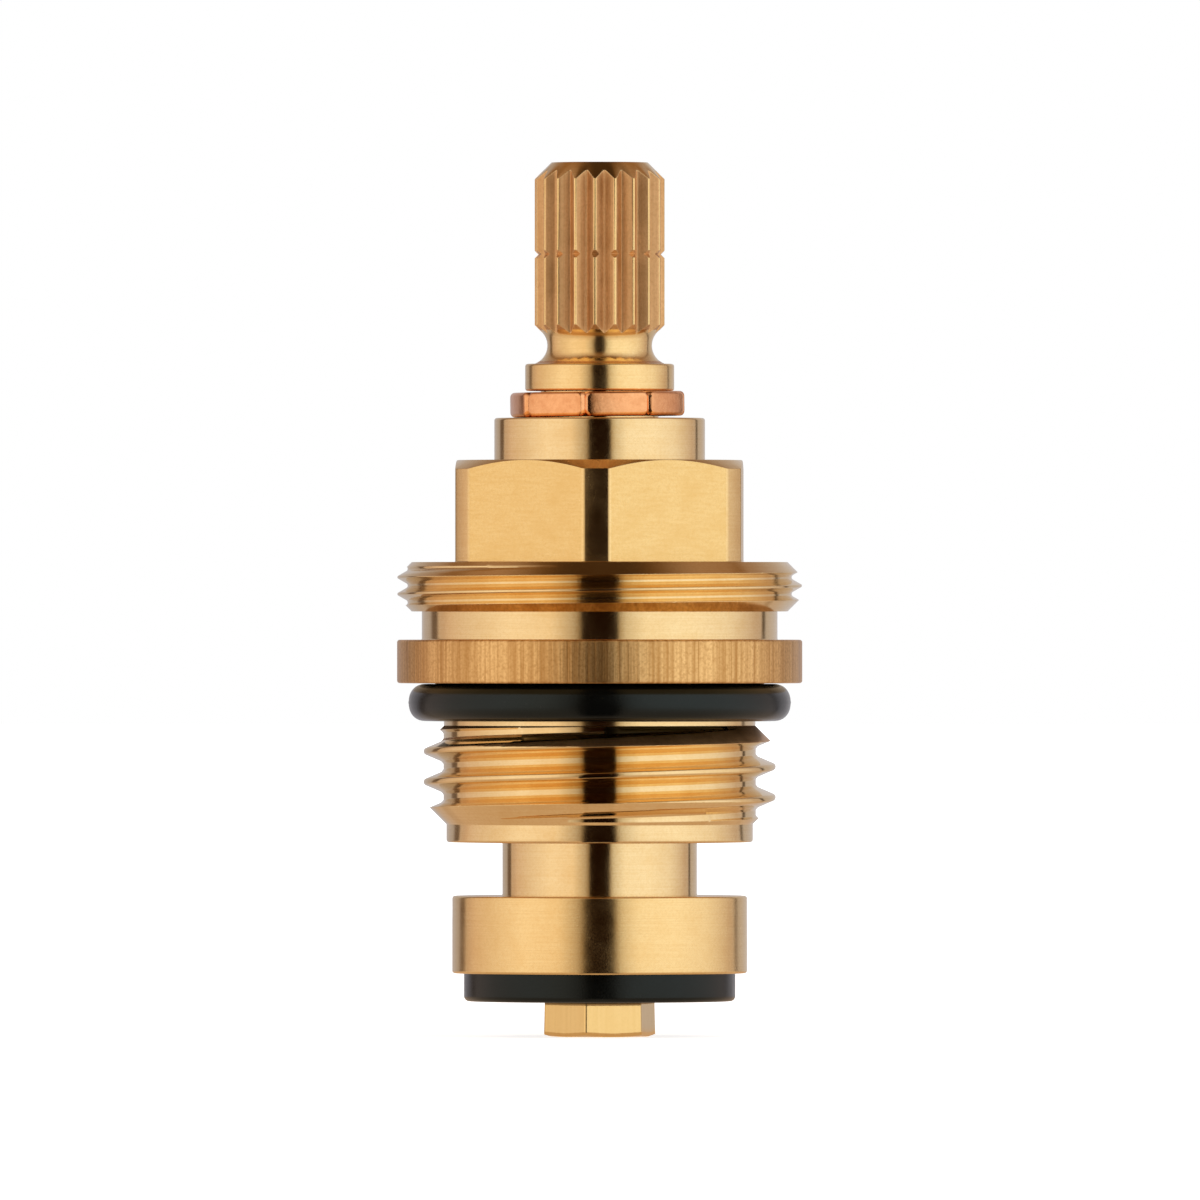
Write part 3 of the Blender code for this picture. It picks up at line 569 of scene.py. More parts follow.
def body_material_at(face):
    """Flats are 1, the flange's rim 2, the tap thread 3, the hexagon's corners 4, the rest 0.

    The cone above the tap thread is 5.
    """
    level = face.center.z
    radius = math.hypot(face.center.x, face.center.y)
    tilt = abs(face.normal.z)
    if cover_thread_top < level < hex_top and radius > BOSS_RADIUS and tilt < LEVEL_FACE:
        return 4 if tilt > CHAMFER_FACE or radius > hex_corner - HEX_CORNER_BAND else 1
    if 0 < level < flange_top and radius > UNDERCUT_RADIUS + SOFT_EDGE:
        return 2
    if tap_thread_bottom < level < NECK_BOTTOM and radius > PISTON_BORE + RUNNING_GAP:
        on_cone = level > NECK_BOTTOM - TAP_THREAD_DEPTH and CONE_FACE[0] < face.normal.z < CONE_FACE[1]
        return 5 if on_cone else 3
    return 0


def spline_angles():
    """Columns of the spindle: each crest has an edge on both sides, and each valley a rounded floor."""
    offsets = [0.0] + [share * spline_edge for share in VALLEY_SHARES]
    offsets += [spline_edge - SPLINE_EDGE_ANGLE, spline_edge + SPLINE_EDGE_ANGLE]
    angles = []
    for tooth in range(SPLINE_TEETH):
        valley = SPLINE_TURN + half_tooth + 2 * half_tooth * tooth
        angles += [valley + offset for offset in offsets]
        angles += [valley - offset for offset in offsets[1:]]
        angles.append(valley + half_tooth)
    return positive(angles)


def spline_radius_at(angle):
    """Radius of the splined bar at an angle, from its round-bottomed valleys and its round crests."""
    from_valley = abs((angle - SPLINE_TURN) % (2 * half_tooth) - half_tooth)
    depth = SPLINE_RADIUS - SPLINE_VALLEY
    steepness = math.sqrt((depth + SPLINE_ROUNDING) ** 2 - SPLINE_ROUNDING ** 2) / spline_edge
    rise = math.hypot(from_valley * steepness, SPLINE_ROUNDING) - SPLINE_ROUNDING
    return SPLINE_VALLEY + min(rise, depth)


def waist_points(start_radius, steps=14):
    """Points of the hollow between the spline and the collar, from a radius down to the collar."""
    centre = WAIST_RADIUS + WAIST_ROUNDING
    waist = collar_top + WAIST_RISE
    start = math.acos((centre - start_radius) / WAIST_ROUNDING)
    end = -math.asin(WAIST_RISE / WAIST_ROUNDING)
    points = []
    for step in range(steps + 1):
        angle = start + (end - start) * step / steps
        points.append((centre - WAIST_ROUNDING * math.cos(angle), waist + WAIST_ROUNDING * math.sin(angle)))
    return points


def seal_groove(radius, floor, height):
    """Corners of a ring's groove, from its top to its bottom."""
    top = height + SEAL_WIDTH / 2
    bottom = height - SEAL_WIDTH / 2
    return [(radius, top), (floor, top), (floor, bottom), (radius, bottom)]


def spindle_column(angle):
    """Outside of the spindle from the handle's hole down to its drive thread, at one angle."""
    radius = spline_radius_at(angle)
    end_radius = SPLINE_RADIUS - SPLINE_TOP_CHAMFER
    groove = spindle_top - SNAP_GROOVE_DROP
    bite = max(radius - (SPLINE_RADIUS - SNAP_GROOVE_DEPTH), 0.0)
    foot_radius = SPLINE_RADIUS - SPLINE_FOOT_CHAMFER
    hollow = waist_points(min(radius, foot_radius))
    foot = hollow[0][1] + max(radius - foot_radius, 0.0)
    return fillet([
        (HANDLE_HOLE_RADIUS + HANDLE_THREAD_DEPTH, spindle_top),
        (end_radius, spindle_top, FINE_EDGE),
        (radius, spindle_top - (radius - end_radius), FINE_EDGE / 2),
        (radius, groove + bite),
        (radius - bite, groove),
        (radius, groove - bite),
        (radius, foot),
        *hollow,
        (JOURNAL_RADIUS, collar_top, SOFT_EDGE),
        (JOURNAL_RADIUS, collar_bottom, SOFT_EDGE),
        (CLIP_GROOVE_RADIUS, collar_bottom),
        (CLIP_GROOVE_RADIUS, boss_top - CLIP_GROOVE_FOOT),
        (JOURNAL_RADIUS, boss_top - CLIP_GROOVE_FOOT),
        *seal_groove(JOURNAL_RADIUS, SPINDLE_SEAL_FLOOR, boss_top - UPPER_SEAL_DROP),
        *seal_groove(JOURNAL_RADIUS, SPINDLE_SEAL_FLOOR, boss_top - LOWER_SEAL_DROP),
        (JOURNAL_RADIUS, SHOULDER_TOP),
        (SHOULDER_RADIUS, SHOULDER_TOP),
        (SHOULDER_RADIUS, SHOULDER_BOTTOM, SOFT_EDGE),
        (DRIVE_NECK, SHOULDER_BOTTOM),
        (DRIVE_NECK, drive_blank()[-1][0]),
    ])


def drive_blank():
    """Levels and radii of the drive thread's blank, from the bottom up."""
    runout = SHOULDER_BOTTOM - (DRIVE_LEAD - DRIVE_CREST) - BORE_CHAMFER
    return [
        (spindle_bottom, DRIVE_ROOT),
        (spindle_bottom + DRIVE_DEPTH, DRIVE_RADIUS),
        (runout - DRIVE_DEPTH / 2, DRIVE_RADIUS),
        (runout + DRIVE_DEPTH / 2, DRIVE_NECK),
    ]


def spindle_mesh():
    """The splined spindle, with its left-hand drive thread and the handle's hole."""
    cage = bmesh.new()
    angles = spline_angles()
    skin(cage, angles, [spindle_column(angle) for angle in angles])

    crest = DRIVE_CREST / DRIVE_LEAD
    root = 1 - crest - 2 * DRIVE_DEPTH * math.tan(DRIVE_FLANK) / DRIVE_LEAD
    drive_helix = helical_columns(
        angles, straight_section(crest, root), DRIVE_LEAD, LEFT_HAND, 0.0, drive_blank(), DRIVE_RADIUS,
        DRIVE_ROOT)
    add_thread(cage, angles, drive_helix, [(DRIVE_NECK, drive_blank()[-1][0])], [(0.0, spindle_bottom)])

    mouth = HANDLE_HOLE_RADIUS + HANDLE_THREAD_DEPTH
    hole_floor = spindle_top - HANDLE_HOLE_DEPTH
    thread_end = spindle_top - HANDLE_THREAD_LENGTH
    hole_blank = [
        (thread_end, HANDLE_HOLE_RADIUS),
        (spindle_top - HANDLE_THREAD_DEPTH, HANDLE_HOLE_RADIUS),
        (spindle_top, mouth),
    ]
    hole_section = groove_section(
        HANDLE_THREAD_PITCH, HANDLE_THREAD_CREST, HANDLE_THREAD_DEPTH, METRIC_FLANK, FINE_EDGE, 2)
    hole_helix = helical_columns(
        angles, hole_section, HANDLE_THREAD_PITCH, RIGHT_HAND, 0.0, hole_blank, HANDLE_HOLE_RADIUS, mouth)
    hole_foot = [(HANDLE_HOLE_RADIUS, thread_end), (HANDLE_HOLE_RADIUS, hole_floor), (0.0, hole_floor)]
    add_thread(cage, angles, hole_helix, [(mouth, spindle_top)], hole_foot)
    return finish_cage(cage, "spindle_turned")


def spindle_material_at(face):
    """The spline's valleys are 1, its crests, the waist and collar 2 and the rest 0.

    The waist's foot and the snap groove are 3.
    """
    radius = math.hypot(face.center.x, face.center.y)
    level = face.center.z
    foot = waist_points(SPLINE_RADIUS - SPLINE_FOOT_CHAMFER)[0][1]
    if collar_bottom - FINE_EDGE < level < foot and radius > WAIST_RADIUS - FINE_EDGE:
        return 3 if collar_top < level and face.normal.z > FOOT_FACE else 2
    in_groove = abs(level - spindle_top + SNAP_GROOVE_DROP) < SNAP_GROOVE_DEPTH
    if in_groove and abs(face.normal.z) > GROOVE_FACE:
        return 3
    if radius > SPLINE_RADIUS - FINE_EDGE / 3:
        return 2
    chamfered = radius + level > SPLINE_RADIUS - SPLINE_TOP_CHAMFER - FINE_EDGE + spindle_top
    return 0 if level < foot or radius < SPLINE_VALLEY - FINE_EDGE or chamfered else 1


def clip_mesh():
    """The lobed snap ring, tilted a little on the boss as in the photograph."""
    cage = bmesh.new()
    lobe_angle = math.tau / CLIP_LOBES
    steps = 40
    count = CLIP_LOBES * steps
    bottom = clip_low[2]
    top = clip_high[2] + CLIP_SWELL
    angles = []
    columns = []
    for step in range(count + 1):
        angle = CLIP_GAP_ANGLE / 2 + (math.tau - CLIP_GAP_ANGLE) * step / count
        share = angle / lobe_angle % 1
        from_notch = min(share, 1 - share) * lobe_angle * CLIP_RADIUS
        notch = CLIP_NOTCH_DEPTH * math.exp(-(from_notch / CLIP_NOTCH_WIDTH) ** 2)
        facet = CLIP_RADIUS * math.cos(lobe_angle / 2) / math.cos((share - 0.5) * lobe_angle)
        outer = facet + CLIP_ROUNDNESS * (CLIP_RADIUS - facet) - notch
        angles.append(CLIP_TURN + angle)
        rounding = CLIP_ROUNDING * (1 + math.exp(-(from_notch / CLIP_ROUNDING) ** 2))
        columns.append(fillet([
            (CLIP_INNER_RADIUS, bottom),
            (outer, bottom, rounding),
            (outer, top, rounding),
            (CLIP_INNER_RADIUS, top),
            (CLIP_INNER_RADIUS, bottom),
        ], 5))
    skin(cage, angles, columns, closed=False)
    bmesh.ops.remove_doubles(cage, verts=cage.verts, dist=WELD)
    bmesh.ops.holes_fill(cage, edges=cage.edges, sides=0)
    middle = (clip_low[2] + clip_high[2]) / 2
    for vertex in cage.verts:
        x, y, z = vertex.co
        lean = math.sin(CLIP_TILT) * x
        vertex.co = (x + CLIP_SHIFT - math.sin(CLIP_TILT) * (z - middle), y, z + lean + CLIP_LIFT)
    return finish_cage(cage, "clip_lobed")


def ring_mesh():
    """The rubber ring under the flange: a slightly square oval with its mould's parting line."""
    cage = bmesh.new()
    half_height = (ring_high[2] - ring_low[2]) / 2
    middle = (ring_high[2] + ring_low[2]) / 2
    outer = ring_high[0]
    play = 0.05 * MM
    inner = NECK_RADIUS + play
    half_width = (outer - inner) / 2
    squareness = 2 / 2.25
    flash_width = 0.05 * MM
    flash_height = 0.018 * MM
    section = []
    steps = 72
    for step in range(steps):
        turn = math.tau * step / steps
        across = math.copysign(abs(math.cos(turn)) ** squareness, math.cos(turn))
        up = math.copysign(abs(math.sin(turn)) ** squareness, math.sin(turn))
        height = half_height * up
        flash = flash_height * math.exp(-(height / flash_width) ** 2)
        radius = (outer + inner) / 2 + (half_width - flash_height) * across
        section.append((radius + math.copysign(flash, across), middle + height))
    section.append(section[0])
    angles = even_angles(RING_COLUMNS)
    skin(cage, angles, [section] * len(angles))
    return finish_cage(cage, "ring_moulded")


def piston_outer_column(angle):
    """Outside of the piston from the nut's edge down to the washer screw's hole, at one angle."""
    corner = PISTON_HEX_ACROSS * HEX_CORNER - PISTON_HEX_TRIM
    radius = min(hex_radius(angle, PISTON_HEX_ACROSS, HEX_TURN), corner)
    top_radius = corner - BORE_CHAMFER
    runout = shaft_top + PISTON_HEX_RUNOUT
    return fillet([
        (min(top_radius, radius), piston_top),
        (radius, piston_top - max(radius - top_radius, 0.0)),
        (radius, runout),
        (corner, runout),
        (corner, shaft_top),
        (SHAFT_RADIUS, shaft_top),
        *seal_groove(SHAFT_RADIUS, PISTON_SEAL_FLOOR, shaft_top - PISTON_SEAL_DROP),
        (SHAFT_RADIUS, carrier_top),
        (CARRIER_RADIUS, carrier_top, SOFT_EDGE),
        (CARRIER_RADIUS, carrier_bottom, SOFT_EDGE),
        (CUP_RADIUS, carrier_bottom),
        (CUP_RADIUS, cup_floor),
        (SCREW_HOLE_RADIUS, cup_floor),
        (SCREW_HOLE_RADIUS, screw_hole_top),
        (0.0, screw_hole_top),
    ])


def piston_mesh():
    """The piston: its hexagonal nut, sealed shaft and washer cup."""
    cage = bmesh.new()
    angles = positive(even_angles(TURNED_COLUMNS, HEX_TURN))
    nut_bottom = piston_top - NUT_LENGTH
    floor = screw_hole_top + PISTON_WEB
    nut_depth = DRIVE_RADIUS + RUNNING_GAP - NUT_RADIUS
    ridge = DRIVE_CREST + 2 * DRIVE_DEPTH * math.tan(DRIVE_FLANK)
    mouth = ridge + 2 * RUNNING_GAP - 2 * (NUT_RADIUS - DRIVE_ROOT) * math.tan(DRIVE_FLANK)
    root = mouth - 2 * nut_depth * math.tan(DRIVE_FLANK)
    section = straight_section(1 - mouth / DRIVE_LEAD, root / DRIVE_LEAD)
    blank = [
        (nut_bottom, NUT_RADIUS),
        (piston_top - BORE_CHAMFER, NUT_RADIUS),
        (piston_top, NUT_RADIUS + BORE_CHAMFER),
    ]
    helix = helical_columns(
        angles, section, DRIVE_LEAD, LEFT_HAND, DRIVE_LEAD / 2, blank, NUT_RADIUS, NUT_RADIUS + nut_depth)
    foot = [(NUT_CLEARANCE, nut_bottom), (NUT_CLEARANCE, floor), (0.0, floor)]
    add_thread(cage, angles, helix, [], foot)
    skin(cage, angles, [column[:1] + piston_outer_column(angle) for angle, column in zip(angles, helix[0])])
    return finish_cage(cage, "piston_turned")


def piston_material_at(face):
    """The washer's carrier is 1 and the rest 0."""
    return 1 if face.center.z < carrier_top + FINE_EDGE else 0


def washer_mesh():
    """The rubber valve washer, with softened edges."""
    cage = bmesh.new()
    hole = SCREW_RADIUS + RUNNING_GAP
    outer = washer_high[0]
    section = fillet([
        (hole, washer_high[2]),
        (outer, washer_high[2], FINE_EDGE),
        (outer, washer_low[2], 2 * SOFT_EDGE),
        (outer - WASHER_RIM, washer_low[2]),
        (hole, washer_low[2]),
        (hole, washer_high[2]),
    ], 6)
    angles = even_angles(TURNED_COLUMNS)
    skin(cage, angles, [section] * len(angles))
    return finish_cage(cage, "washer_moulded")


def screw_column(angle):
    """Outline of the washer's hexagon screw at one angle."""
    radius = min(hex_radius(angle, HEAD_ACROSS, HEAD_TURN), screw_corner)
    edge = HEAD_ACROSS / 2
    foot = screw_low[2] + FINE_EDGE + max(radius - edge, 0.0) * math.tan(HEAD_BEVEL)

    def on_flat(level):
        return radius - (level - screw_low[2]) * math.tan(HEAD_DRAFT), level

    return fillet([
        (0.0, screw_high[2]),
        (SCREW_RADIUS, screw_high[2], BORE_CHAMFER),
        (SCREW_RADIUS, head_top),
        (*on_flat(head_top), FINE_EDGE),
        on_flat(head_top - 3 * FINE_EDGE),
        on_flat(foot + 3 * FINE_EDGE),
        (*on_flat(foot), FINE_EDGE),
        (edge - FINE_EDGE, screw_low[2]),
        (0.0, screw_low[2]),
    ])


def screw_mesh():
    """The small hexagon screw that holds the washer."""
    cage = bmesh.new()
    angles = hex_angles(HEAD_ACROSS, screw_corner, HEAD_TURN, SCREW_COLUMNS)
    skin(cage, angles, [screw_column(angle) for angle in angles])
    return finish_cage(cage, "screw_turned")


def start_material(name):
    """A material, its node tree and its Principled shader."""
    material = bpy.data.materials.new(name)
    material.use_nodes = True
    return material, material.node_tree, material.node_tree.nodes["Principled BSDF"]


def set_inputs(node, values):
    """Set inputs of a node by their names."""
    for name, value in values.items():
        node.inputs[name].default_value = value


def add_noise(tree, size, stretch=EVEN, detail=3.0):
    """Noise in the part's own frame. Its grain is about size wide, drawn out where stretch is below 1."""
    place = tree.nodes.new("ShaderNodeTexCoord")
    mapping = tree.nodes.new("ShaderNodeMapping")
    noise = tree.nodes.new("ShaderNodeTexNoise")
    set_inputs(mapping, {"Scale": stretch})
    set_inputs(noise, {"Scale": 1 / size, "Detail": detail})
    tree.links.new(place.outputs["Object"], mapping.inputs["Vector"])
    tree.links.new(mapping.outputs["Vector"], noise.inputs["Vector"])
    return noise.outputs["Fac"]


def remap(tree, value, from_low, from_high, to_low=0.0, to_high=1.0):
    """A value taken from one range to another, and kept in it."""
    node = tree.nodes.new("ShaderNodeMapRange")
    set_inputs(node, {"From Min": from_low, "From Max": from_high, "To Min": to_low, "To Max": to_high})
    tree.links.new(value, node.inputs["Value"])
    return node.outputs["Result"]


def combine(tree, operation, first, second):
    """Two values through a Math node. The second may be a number."""
    node = tree.nodes.new("ShaderNodeMath")
    node.operation = operation
    tree.links.new(first, node.inputs[0])
    if isinstance(second, float):
        node.inputs[1].default_value = second
    else:
        tree.links.new(second, node.inputs[1])
    return node.outputs["Value"]


def blend(tree, factor, first, second):
    """A colour between two, which are sockets or linear RGB."""
    node = tree.nodes.new("ShaderNodeMix")
    node.data_type = "RGBA"
    tree.links.new(factor, node.inputs["Factor"])
    for socket, colour in ((node.inputs["A"], first), (node.inputs["B"], second)):
        if isinstance(colour, tuple):
            socket.default_value = (*colour, 1.0)
        else:
            tree.links.new(colour, socket)
    return node.outputs["Result"]


def add_bump(tree, height, depth, normal=None):
    """A normal from a height between 0 and 1 that stands for a depth in metres."""
    node = tree.nodes.new("ShaderNodeBump")
    node.inputs["Distance"].default_value = depth
    tree.links.new(height, node.inputs["Height"])
    if normal:
        tree.links.new(normal, node.inputs["Normal"])
    return node.outputs["Normal"]


def add_edges(tree, radius):
    """A mask of the worn edges, and the normal that rounds them."""
    bevel = tree.nodes.new("ShaderNodeBevel")
    bevel.samples = 4
    bevel.inputs["Radius"].default_value = radius
    geometry = tree.nodes.new("ShaderNodeNewGeometry")
    dot = tree.nodes.new("ShaderNodeVectorMath")
    dot.operation = "DOT_PRODUCT"
    tree.links.new(bevel.outputs["Normal"], dot.inputs[0])
    tree.links.new(geometry.outputs["Normal"], dot.inputs[1])
    return remap(tree, dot.outputs["Value"], 0.99, 0.85), bevel.outputs["Normal"]


def make_brass(name, colours, grain, grain_size, grain_depth, gloss, tints=(0.35, 0.35), stain=EVEN):
    """Machined metal: tool marks along one direction, fine mottling, faint stains, pits and bright edges.

    gloss is the lowest and highest roughness. tints are how far the marks and the mottling go towards
    deep, and stain is how the stains are drawn out.
    """
    material, tree, shader = start_material(name)
    pale, deep = colours
    marks = add_noise(tree, grain_size, grain, 4.0)
    mottle = add_noise(tree, MOTTLE_SIZE)
    stains = add_noise(tree, STAIN_SIZE, stain)
    specks = add_noise(tree, SPECK_SIZE, detail=1.0)
    worn, rounded = add_edges(tree, WORN_EDGE)

    tone = combine(tree, "MULTIPLY", remap(tree, mottle, 0.30, 0.58, 1 - tints[1]),
                   remap(tree, stains, 0.30, 0.55, 1 - tints[1]))
    tone = combine(tree, "MULTIPLY", tone, remap(tree, marks, 0.30, 0.60, 1 - tints[0]))
    metal = blend(tree, tone, deep, pale)
    bright = tuple(min(1.0, channel * 1.1) for channel in pale)
    tree.links.new(blend(tree, worn, metal, bright), shader.inputs["Base Color"])

    shader.inputs["Metallic"].default_value = 1.0
    pits = remap(tree, specks, 0.64, 0.74, 0.0, 0.10)
    rough = combine(tree, "ADD", remap(tree, stains, 0.35, 0.65, gloss[0], gloss[1]), pits)
    tree.links.new(rough, shader.inputs["Roughness"])
    bumped = add_bump(tree, marks, grain_depth, rounded)
    tree.links.new(add_bump(tree, mottle, MOTTLE_DEPTH, bumped), shader.inputs["Normal"])
    return material


def make_rubber(name, gloss):
    """Moulded black rubber, with a fine skin and specks of dust."""
    material, tree, shader = start_material(name)
    skin_grain = add_noise(tree, 0.12 * MM)
    waves = add_noise(tree, 1.2 * MM, detail=2.0)
    specks = add_noise(tree, 0.09 * MM, detail=2.0)
    worn, rounded = add_edges(tree, 0.08 * MM)
    dust = combine(tree, "MULTIPLY", remap(tree, specks, 0.66, 0.74), remap(tree, waves, 0.45, 0.65))
    dust = combine(tree, "MAXIMUM", dust, combine(tree, "MULTIPLY", worn, 0.25))
    tree.links.new(blend(tree, dust, RUBBER_BLACK, RUBBER_DUST), shader.inputs["Base Color"])
    tree.links.new(remap(tree, waves, 0.3, 0.7, gloss[0], gloss[1]), shader.inputs["Roughness"])
    set_inputs(shader, {"Specular IOR Level": 0.36, "Specular Tint": (*RUBBER_SHEEN, 1.0)})
    tree.links.new(add_bump(tree, skin_grain, 0.004 * MM, rounded), shader.inputs["Normal"])
    return material


def make_acetal():
    """Natural acetal, slightly waxy, with faint turning marks."""
    material, tree, shader = start_material("acetal")
    marks = add_noise(tree, 0.08 * MM, RINGS, 2.0)
    clouds = add_noise(tree, 1.5 * MM, detail=2.0)
    cloudy = blend(tree, remap(tree, clouds, 0.35, 0.65), ACETAL_DEEP, ACETAL)
    tree.links.new(cloudy, shader.inputs["Base Color"])
    tree.links.new(remap(tree, marks, 0.3, 0.7, 0.38, 0.52), shader.inputs["Roughness"])
    tree.links.new(add_bump(tree, marks, 0.004 * MM), shader.inputs["Normal"])
    return material


def dress_node(node, material):
    """Give a CAD node that stays a better material."""
    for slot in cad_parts[node].material_slots:
        slot.material = material


def build_pieces():
    """Every piece that shows, and the finish of the nodes that stay."""
    turned = make_brass("brass_turned", BRASS, RINGS, TURNING_GRAIN, 0.0008 * MM, (0.09, 0.13))
    satin = make_brass("brass_satin", SATIN, RINGS, TURNING_GRAIN, 0.0012 * MM, (0.14, 0.19))
    flats = make_brass(
        "brass_flats", FLAT, SHORT_MARKS, 0.16 * MM, 0.002 * MM, (0.17, 0.24), (0.5, 0.5))
    rim = make_brass(
        "brass_rim", RIM, STREAKS, 0.22 * MM, 0.020 * MM, (0.30, 0.38), (0.8, 0.5), STREAKS)
    thread = make_brass("brass_thread", BRASS, RINGS, TURNING_GRAIN, 0.0006 * MM, (0.06, 0.09))
    spline = make_brass(
        "brass_spline", SPLINE, STREAKS, 0.15 * MM, 0.006 * MM, (0.46, 0.55), (0.4, 0.3))
    cone = make_brass("brass_cone", SPLINE, RINGS, TURNING_GRAIN, 0.0012 * MM, (0.30, 0.36))
    copper = make_brass(
        "copper_tumbled", COPPER, EVEN, 0.35 * MM, 0.006 * MM, (0.14, 0.22), (0.3, 0.2))
    milled = make_brass(
        "brass_milled", FLAT, STREAKS, 0.20 * MM, 0.001 * MM, (0.05, 0.08), (0.3, 0.15))
    rubber = make_rubber("rubber_moulded", (0.16, 0.22))
    washer_rubber = make_rubber("rubber_washer", (0.19, 0.26))

    add_piece("faucet_body", body_mesh(), "body", "body",
              [turned, flats, rim, thread, satin, cone], body_material_at)
    add_piece("faucet_spindle", spindle_mesh(), "spindle", "spindle",
              [turned, spline, satin, cone], spindle_material_at)
    add_piece("faucet_clip", clip_mesh(), "retaining_clip", "spindle", [copper])
    add_piece("faucet_flange_ring", ring_mesh(), "flange_o_ring", "body", [rubber])
    add_piece("faucet_piston", piston_mesh(), "piston", "piston",
              [turned, satin], piston_material_at)
    add_piece("faucet_valve_washer", washer_mesh(), "valve_washer", "piston",
              [washer_rubber])
    add_piece("faucet_washer_screw", screw_mesh(), "washer_screw", "piston", [milled])

    for node in ("upper_o_ring", "lower_o_ring", "piston_o_ring"):
        dress_node(node, rubber)
    dress_node("thrust_washer", make_acetal())


# Studio: a dome of soft light round the part, with a dark slit towards the camera
DOME_RADIUS = 0.6
DOME_STRIPS = 240
DOME_ROWS = 24
APRON_INNER = 0.001
APRON_ROWS = 20
APRON_LIFT = 0.02 * MM
FLOOR_RADIUS = 4.0
# Painted shade on the floor: its glow is lowered to FLOOR_SHADE near the part and rises to white from
# SHADE_RADIUS to WHITE_RADIUS
FLOOR_SHADE = 0.78
SHADE_RADIUS = 0.012
WHITE_RADIUS = 0.06
WORLD_LIGHT = 0.8
SLIT_IN = 11.8
SLIT_OUT = 12.2
SLIT_DARK = (0.010, 0.003, 0.0005)
OVERHEAD = (0.30, 0.15, 0.06)
UNDERNEATH = (0.62, 0.45, 0.32)

# Light of the dome by degrees from the camera's direction, to its right and to its left
RIGHT_LIGHT = [
    (SLIT_IN, SLIT_DARK), (SLIT_OUT, (0.40, 0.32, 0.22)), (17.0, (0.76, 0.72, 0.66)),
    (30.0, (1.07, 1.04, 0.98)), (60.0, (1.10, 1.08, 1.04)), (90.0, (0.97, 0.93, 0.90)),
    (116.0, (0.68, 0.59, 0.56)), (121.0, (0.60, 0.50, 0.46)), (130.0, (0.58, 0.50, 0.49)),
    (131.5, (0.10, 0.08, 0.07)),
    (135.0, (0.12, 0.10, 0.09)), (136.5, (0.52, 0.48, 0.50)), (180.0, (0.62, 0.60, 0.62)),
]
LEFT_LIGHT = [
    (SLIT_IN, SLIT_DARK), (SLIT_OUT, (0.26, 0.18, 0.10)), (17.0, (0.56, 0.48, 0.40)),
    (32.0, (1.00, 0.87, 0.73)), (60.0, (1.06, 0.96, 0.86)), (90.0, (0.87, 0.75, 0.66)),
    (115.0, (0.74, 0.59, 0.52)), (122.0, (0.62, 0.48, 0.42)), (129.0, (0.60, 0.48, 0.42)),
    (131.0, (0.14, 0.10, 0.08)),
    (139.0, (0.18, 0.13, 0.11)), (143.0, (0.44, 0.40, 0.42)), (180.0, (0.56, 0.54, 0.56)),
]


def from_camera(degrees):
    """Degrees between a direction and the camera's."""
    return min(degrees % 360, -degrees % 360)


def light_towards(degrees):
    """Light of the dome in a direction, in degrees to the right of the camera's."""
    stops = RIGHT_LIGHT if degrees % 360 < 180 else LEFT_LIGHT
    channels = [[(place, colour[channel]) for place, colour in stops] for channel in range(3)]
    return [interpolate(channel, from_camera(degrees)) for channel in channels]


def is_white_seen(tree):
    """1 for the camera, mirrors and glass, and 0 for the light on other surfaces."""
    light_path = tree.nodes.new("ShaderNodeLightPath")
    seen = combine(tree, "MAXIMUM", light_path.outputs["Is Camera Ray"], light_path.outputs["Is Glossy Ray"])
    return combine(tree, "MAXIMUM", seen, light_path.outputs["Is Transmission Ray"])


def add_world():
    """A world that shows white and gives soft light."""
    world = bpy.data.worlds.new("studio")
    bpy.context.scene.world = world
    world.use_nodes = True
    tree = world.node_tree
    background = tree.nodes["Background"]
    background.inputs["Color"].default_value = (1.0, 1.0, 1.0, 1.0)
    strength = remap(tree, is_white_seen(tree), 0.0, 1.0, WORLD_LIGHT)
    tree.links.new(strength, background.inputs["Strength"])


def add_stage(name, mesh, material):
    """Link a piece of the studio, with its material."""
    mesh.materials.append(material)
    item = add_object(name, mesh)
    return item


def add_floor():
    """A pale floor that shows white and keeps the part's shadow close to it.

    Its glow is painted dimmer near the part, a painted shade round its foot.
    """
    cage = bmesh.new()
    bmesh.ops.create_circle(cage, cap_ends=True, segments=96, radius=FLOOR_RADIUS)
    material, tree, shader = start_material("pale_floor")
    set_inputs(shader, {
        "Base Color": (0.85, 0.85, 0.85, 1.0),
        "Roughness": 0.9,
        "Specular IOR Level": 0.1,
        "Emission Color": (1.0, 1.0, 1.0, 1.0),
    })
    place = tree.nodes.new("ShaderNodeTexCoord")
    length = tree.nodes.new("ShaderNodeVectorMath")
    length.operation = "LENGTH"
    tree.links.new(place.outputs["Object"], length.inputs[0])
    # Painted shade: the glow is FLOOR_SHADE out to SHADE_RADIUS from the part and full white from
    # WHITE_RADIUS on
    painted_shade_glow = remap(tree, length.outputs["Value"], SHADE_RADIUS, WHITE_RADIUS, FLOOR_SHADE)
    tree.links.new(combine(tree, "MULTIPLY", is_white_seen(tree), painted_shade_glow), shader.inputs["Emission Strength"])
    floor = add_stage("studio_floor", mesh_of(cage, "studio_floor"), material)
    floor.location.z = screw_low[2]


def make_glow():
    """Light as bright as the corners of a mesh are painted."""
    material, tree, _ = start_material("studio_glow")
    tree.nodes.clear()
    output = tree.nodes.new("ShaderNodeOutputMaterial")
    emission = tree.nodes.new("ShaderNodeEmission")
    paint = tree.nodes.new("ShaderNodeVertexColor")
    paint.layer_name = "light"
    tree.links.new(paint.outputs["Color"], emission.inputs["Color"])
    tree.links.new(emission.outputs["Emission"], output.inputs["Surface"])
    return material


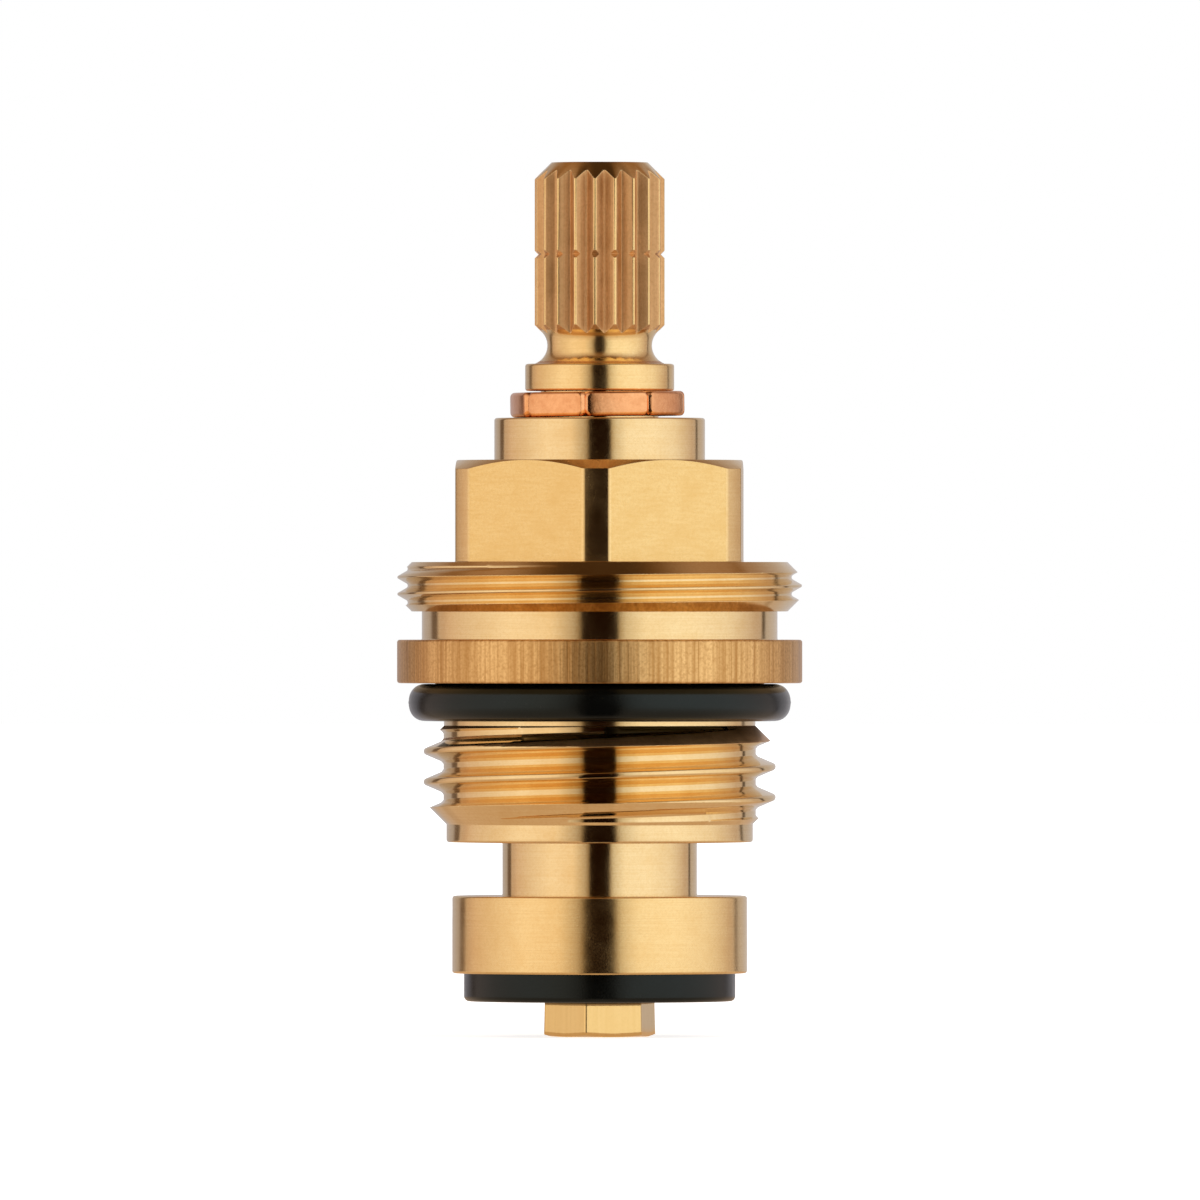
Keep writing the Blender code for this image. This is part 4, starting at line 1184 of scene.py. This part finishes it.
def add_painted(name, rings, glow):
    """Strips round the axis through rings of (radius, z, light at degrees from the camera's direction).

    They light the part and are hidden from the camera.
    """
    cage = bmesh.new()
    paint = cage.loops.layers.float_color.new("light")
    strip = 360 / DOME_STRIPS
    grid = []
    for step in range(DOME_STRIPS):
        degrees = strip * (step + 0.5)
        angle = FRONT + math.radians(degrees)
        grid.append([
            (cage.verts.new((r * math.cos(angle), r * math.sin(angle), z)), (*light_at(degrees), 1.0))
            for r, z, light_at in rings])
    for left, right in zip(grid, grid[1:] + grid[:1]):
        for above, below in zip(zip(left, right), zip(left[1:], right[1:])):
            corners = (above[0], above[1], below[1], below[0])
            face = cage.faces.new([vertex for vertex, _ in corners])
            for loop, (_, colour) in zip(face.loops, corners):
                loop[paint] = colour
    item = add_stage(name, mesh_of(cage, name), glow)
    item.visible_camera = False
    return item


def mixed_light(degrees, share, fill):
    """The dome's light in a direction, blended into one colour where its share is below 1."""
    return [share * light + (1 - share) * even for light, even in zip(light_towards(degrees), fill)]


def dome_share(degrees, elevation):
    """How much of the light in a direction is left at an elevation. It fades sooner at the back."""
    front = interpolate([(40.0, 1.0), (72.0, 0.0)], elevation)
    back = interpolate([(15.0, 1.0), (50.0, 0.0)], elevation)
    return interpolate([(90.0, front), (140.0, back)], from_camera(degrees))


def overhead_light(degrees, elevation):
    """The warm light above the dome's bright part. It is nearly dark at the top and high up at the back."""
    side = interpolate([(60.0, 1.0), (80.0, 0.2)], elevation)
    back = interpolate([(25.0, 1.0), (45.0, 0.2)], elevation)
    level = interpolate([(0.0, back), (35.0, side)], abs(degrees % 360 - 180))
    return [level * channel for channel in OVERHEAD]


def underneath_light(degrees, radius):
    """The dim light from below, with the dark slit carried on in it except right under the part."""
    edge = interpolate([(0.010, 1.0), (0.016, 0.0)], radius)
    level = interpolate([(SLIT_IN, edge), (SLIT_OUT, 1.0)], from_camera(degrees))
    return [level * channel for channel in UNDERNEATH]


def add_dome(glow):
    """The dome of light, dimmer and warmer overhead."""
    rings = [(DOME_RADIUS, screw_low[2], light_towards)]
    for row in range(DOME_ROWS + 1):
        elevation = 90.0 * row / DOME_ROWS
        radius = DOME_RADIUS * math.cos(math.radians(elevation))
        height = DOME_RADIUS * math.sin(math.radians(elevation))
        rings.append((radius, height, lambda degrees, elevation=elevation: mixed_light(
            degrees, dome_share(degrees, elevation), overhead_light(degrees, elevation))))
    add_painted("studio_dome", rings, glow)


def add_apron(glow):
    """Reflector cards on the floor, which carry the dome's light and slit on below for the metal."""
    rings = []
    for row in range(APRON_ROWS + 1):
        radius = APRON_INNER * (DOME_RADIUS / APRON_INNER) ** (row / APRON_ROWS)
        share = interpolate([(0.02, 0.0), (0.08, 1.0)], radius)
        rings.append((radius, screw_low[2] + APRON_LIFT, lambda degrees, radius=radius, share=share:
                      mixed_light(degrees, share, underneath_light(degrees, radius))))
    apron = add_painted("studio_apron", rings, glow)
    apron.visible_diffuse = False
    apron.visible_transmission = False
    apron.visible_shadow = False


def add_camera():
    """The photograph's camera: far off, level with a point just above the flange."""
    distance = 1.6
    aside = 0.02 * MM
    eye_level = 4.93 * MM
    view_height = 71.2 * MM
    camera = bpy.data.cameras.new("photo_camera")
    camera.sensor_width = 36.0
    camera.lens = camera.sensor_width * distance / view_height
    camera.clip_start = 0.05
    camera.clip_end = 20.0
    eye = add_object("photo_camera", camera)
    eye.location = (aside, -distance, eye_level)
    eye.rotation_euler = (math.pi / 2, 0.0, 0.0)
    bpy.context.scene.camera = eye


build_pieces()
add_world()
add_floor()
studio_glow = make_glow()
add_dome(studio_glow)
add_apron(studio_glow)
add_camera()
bpy.context.scene.view_settings.view_transform = "Standard"
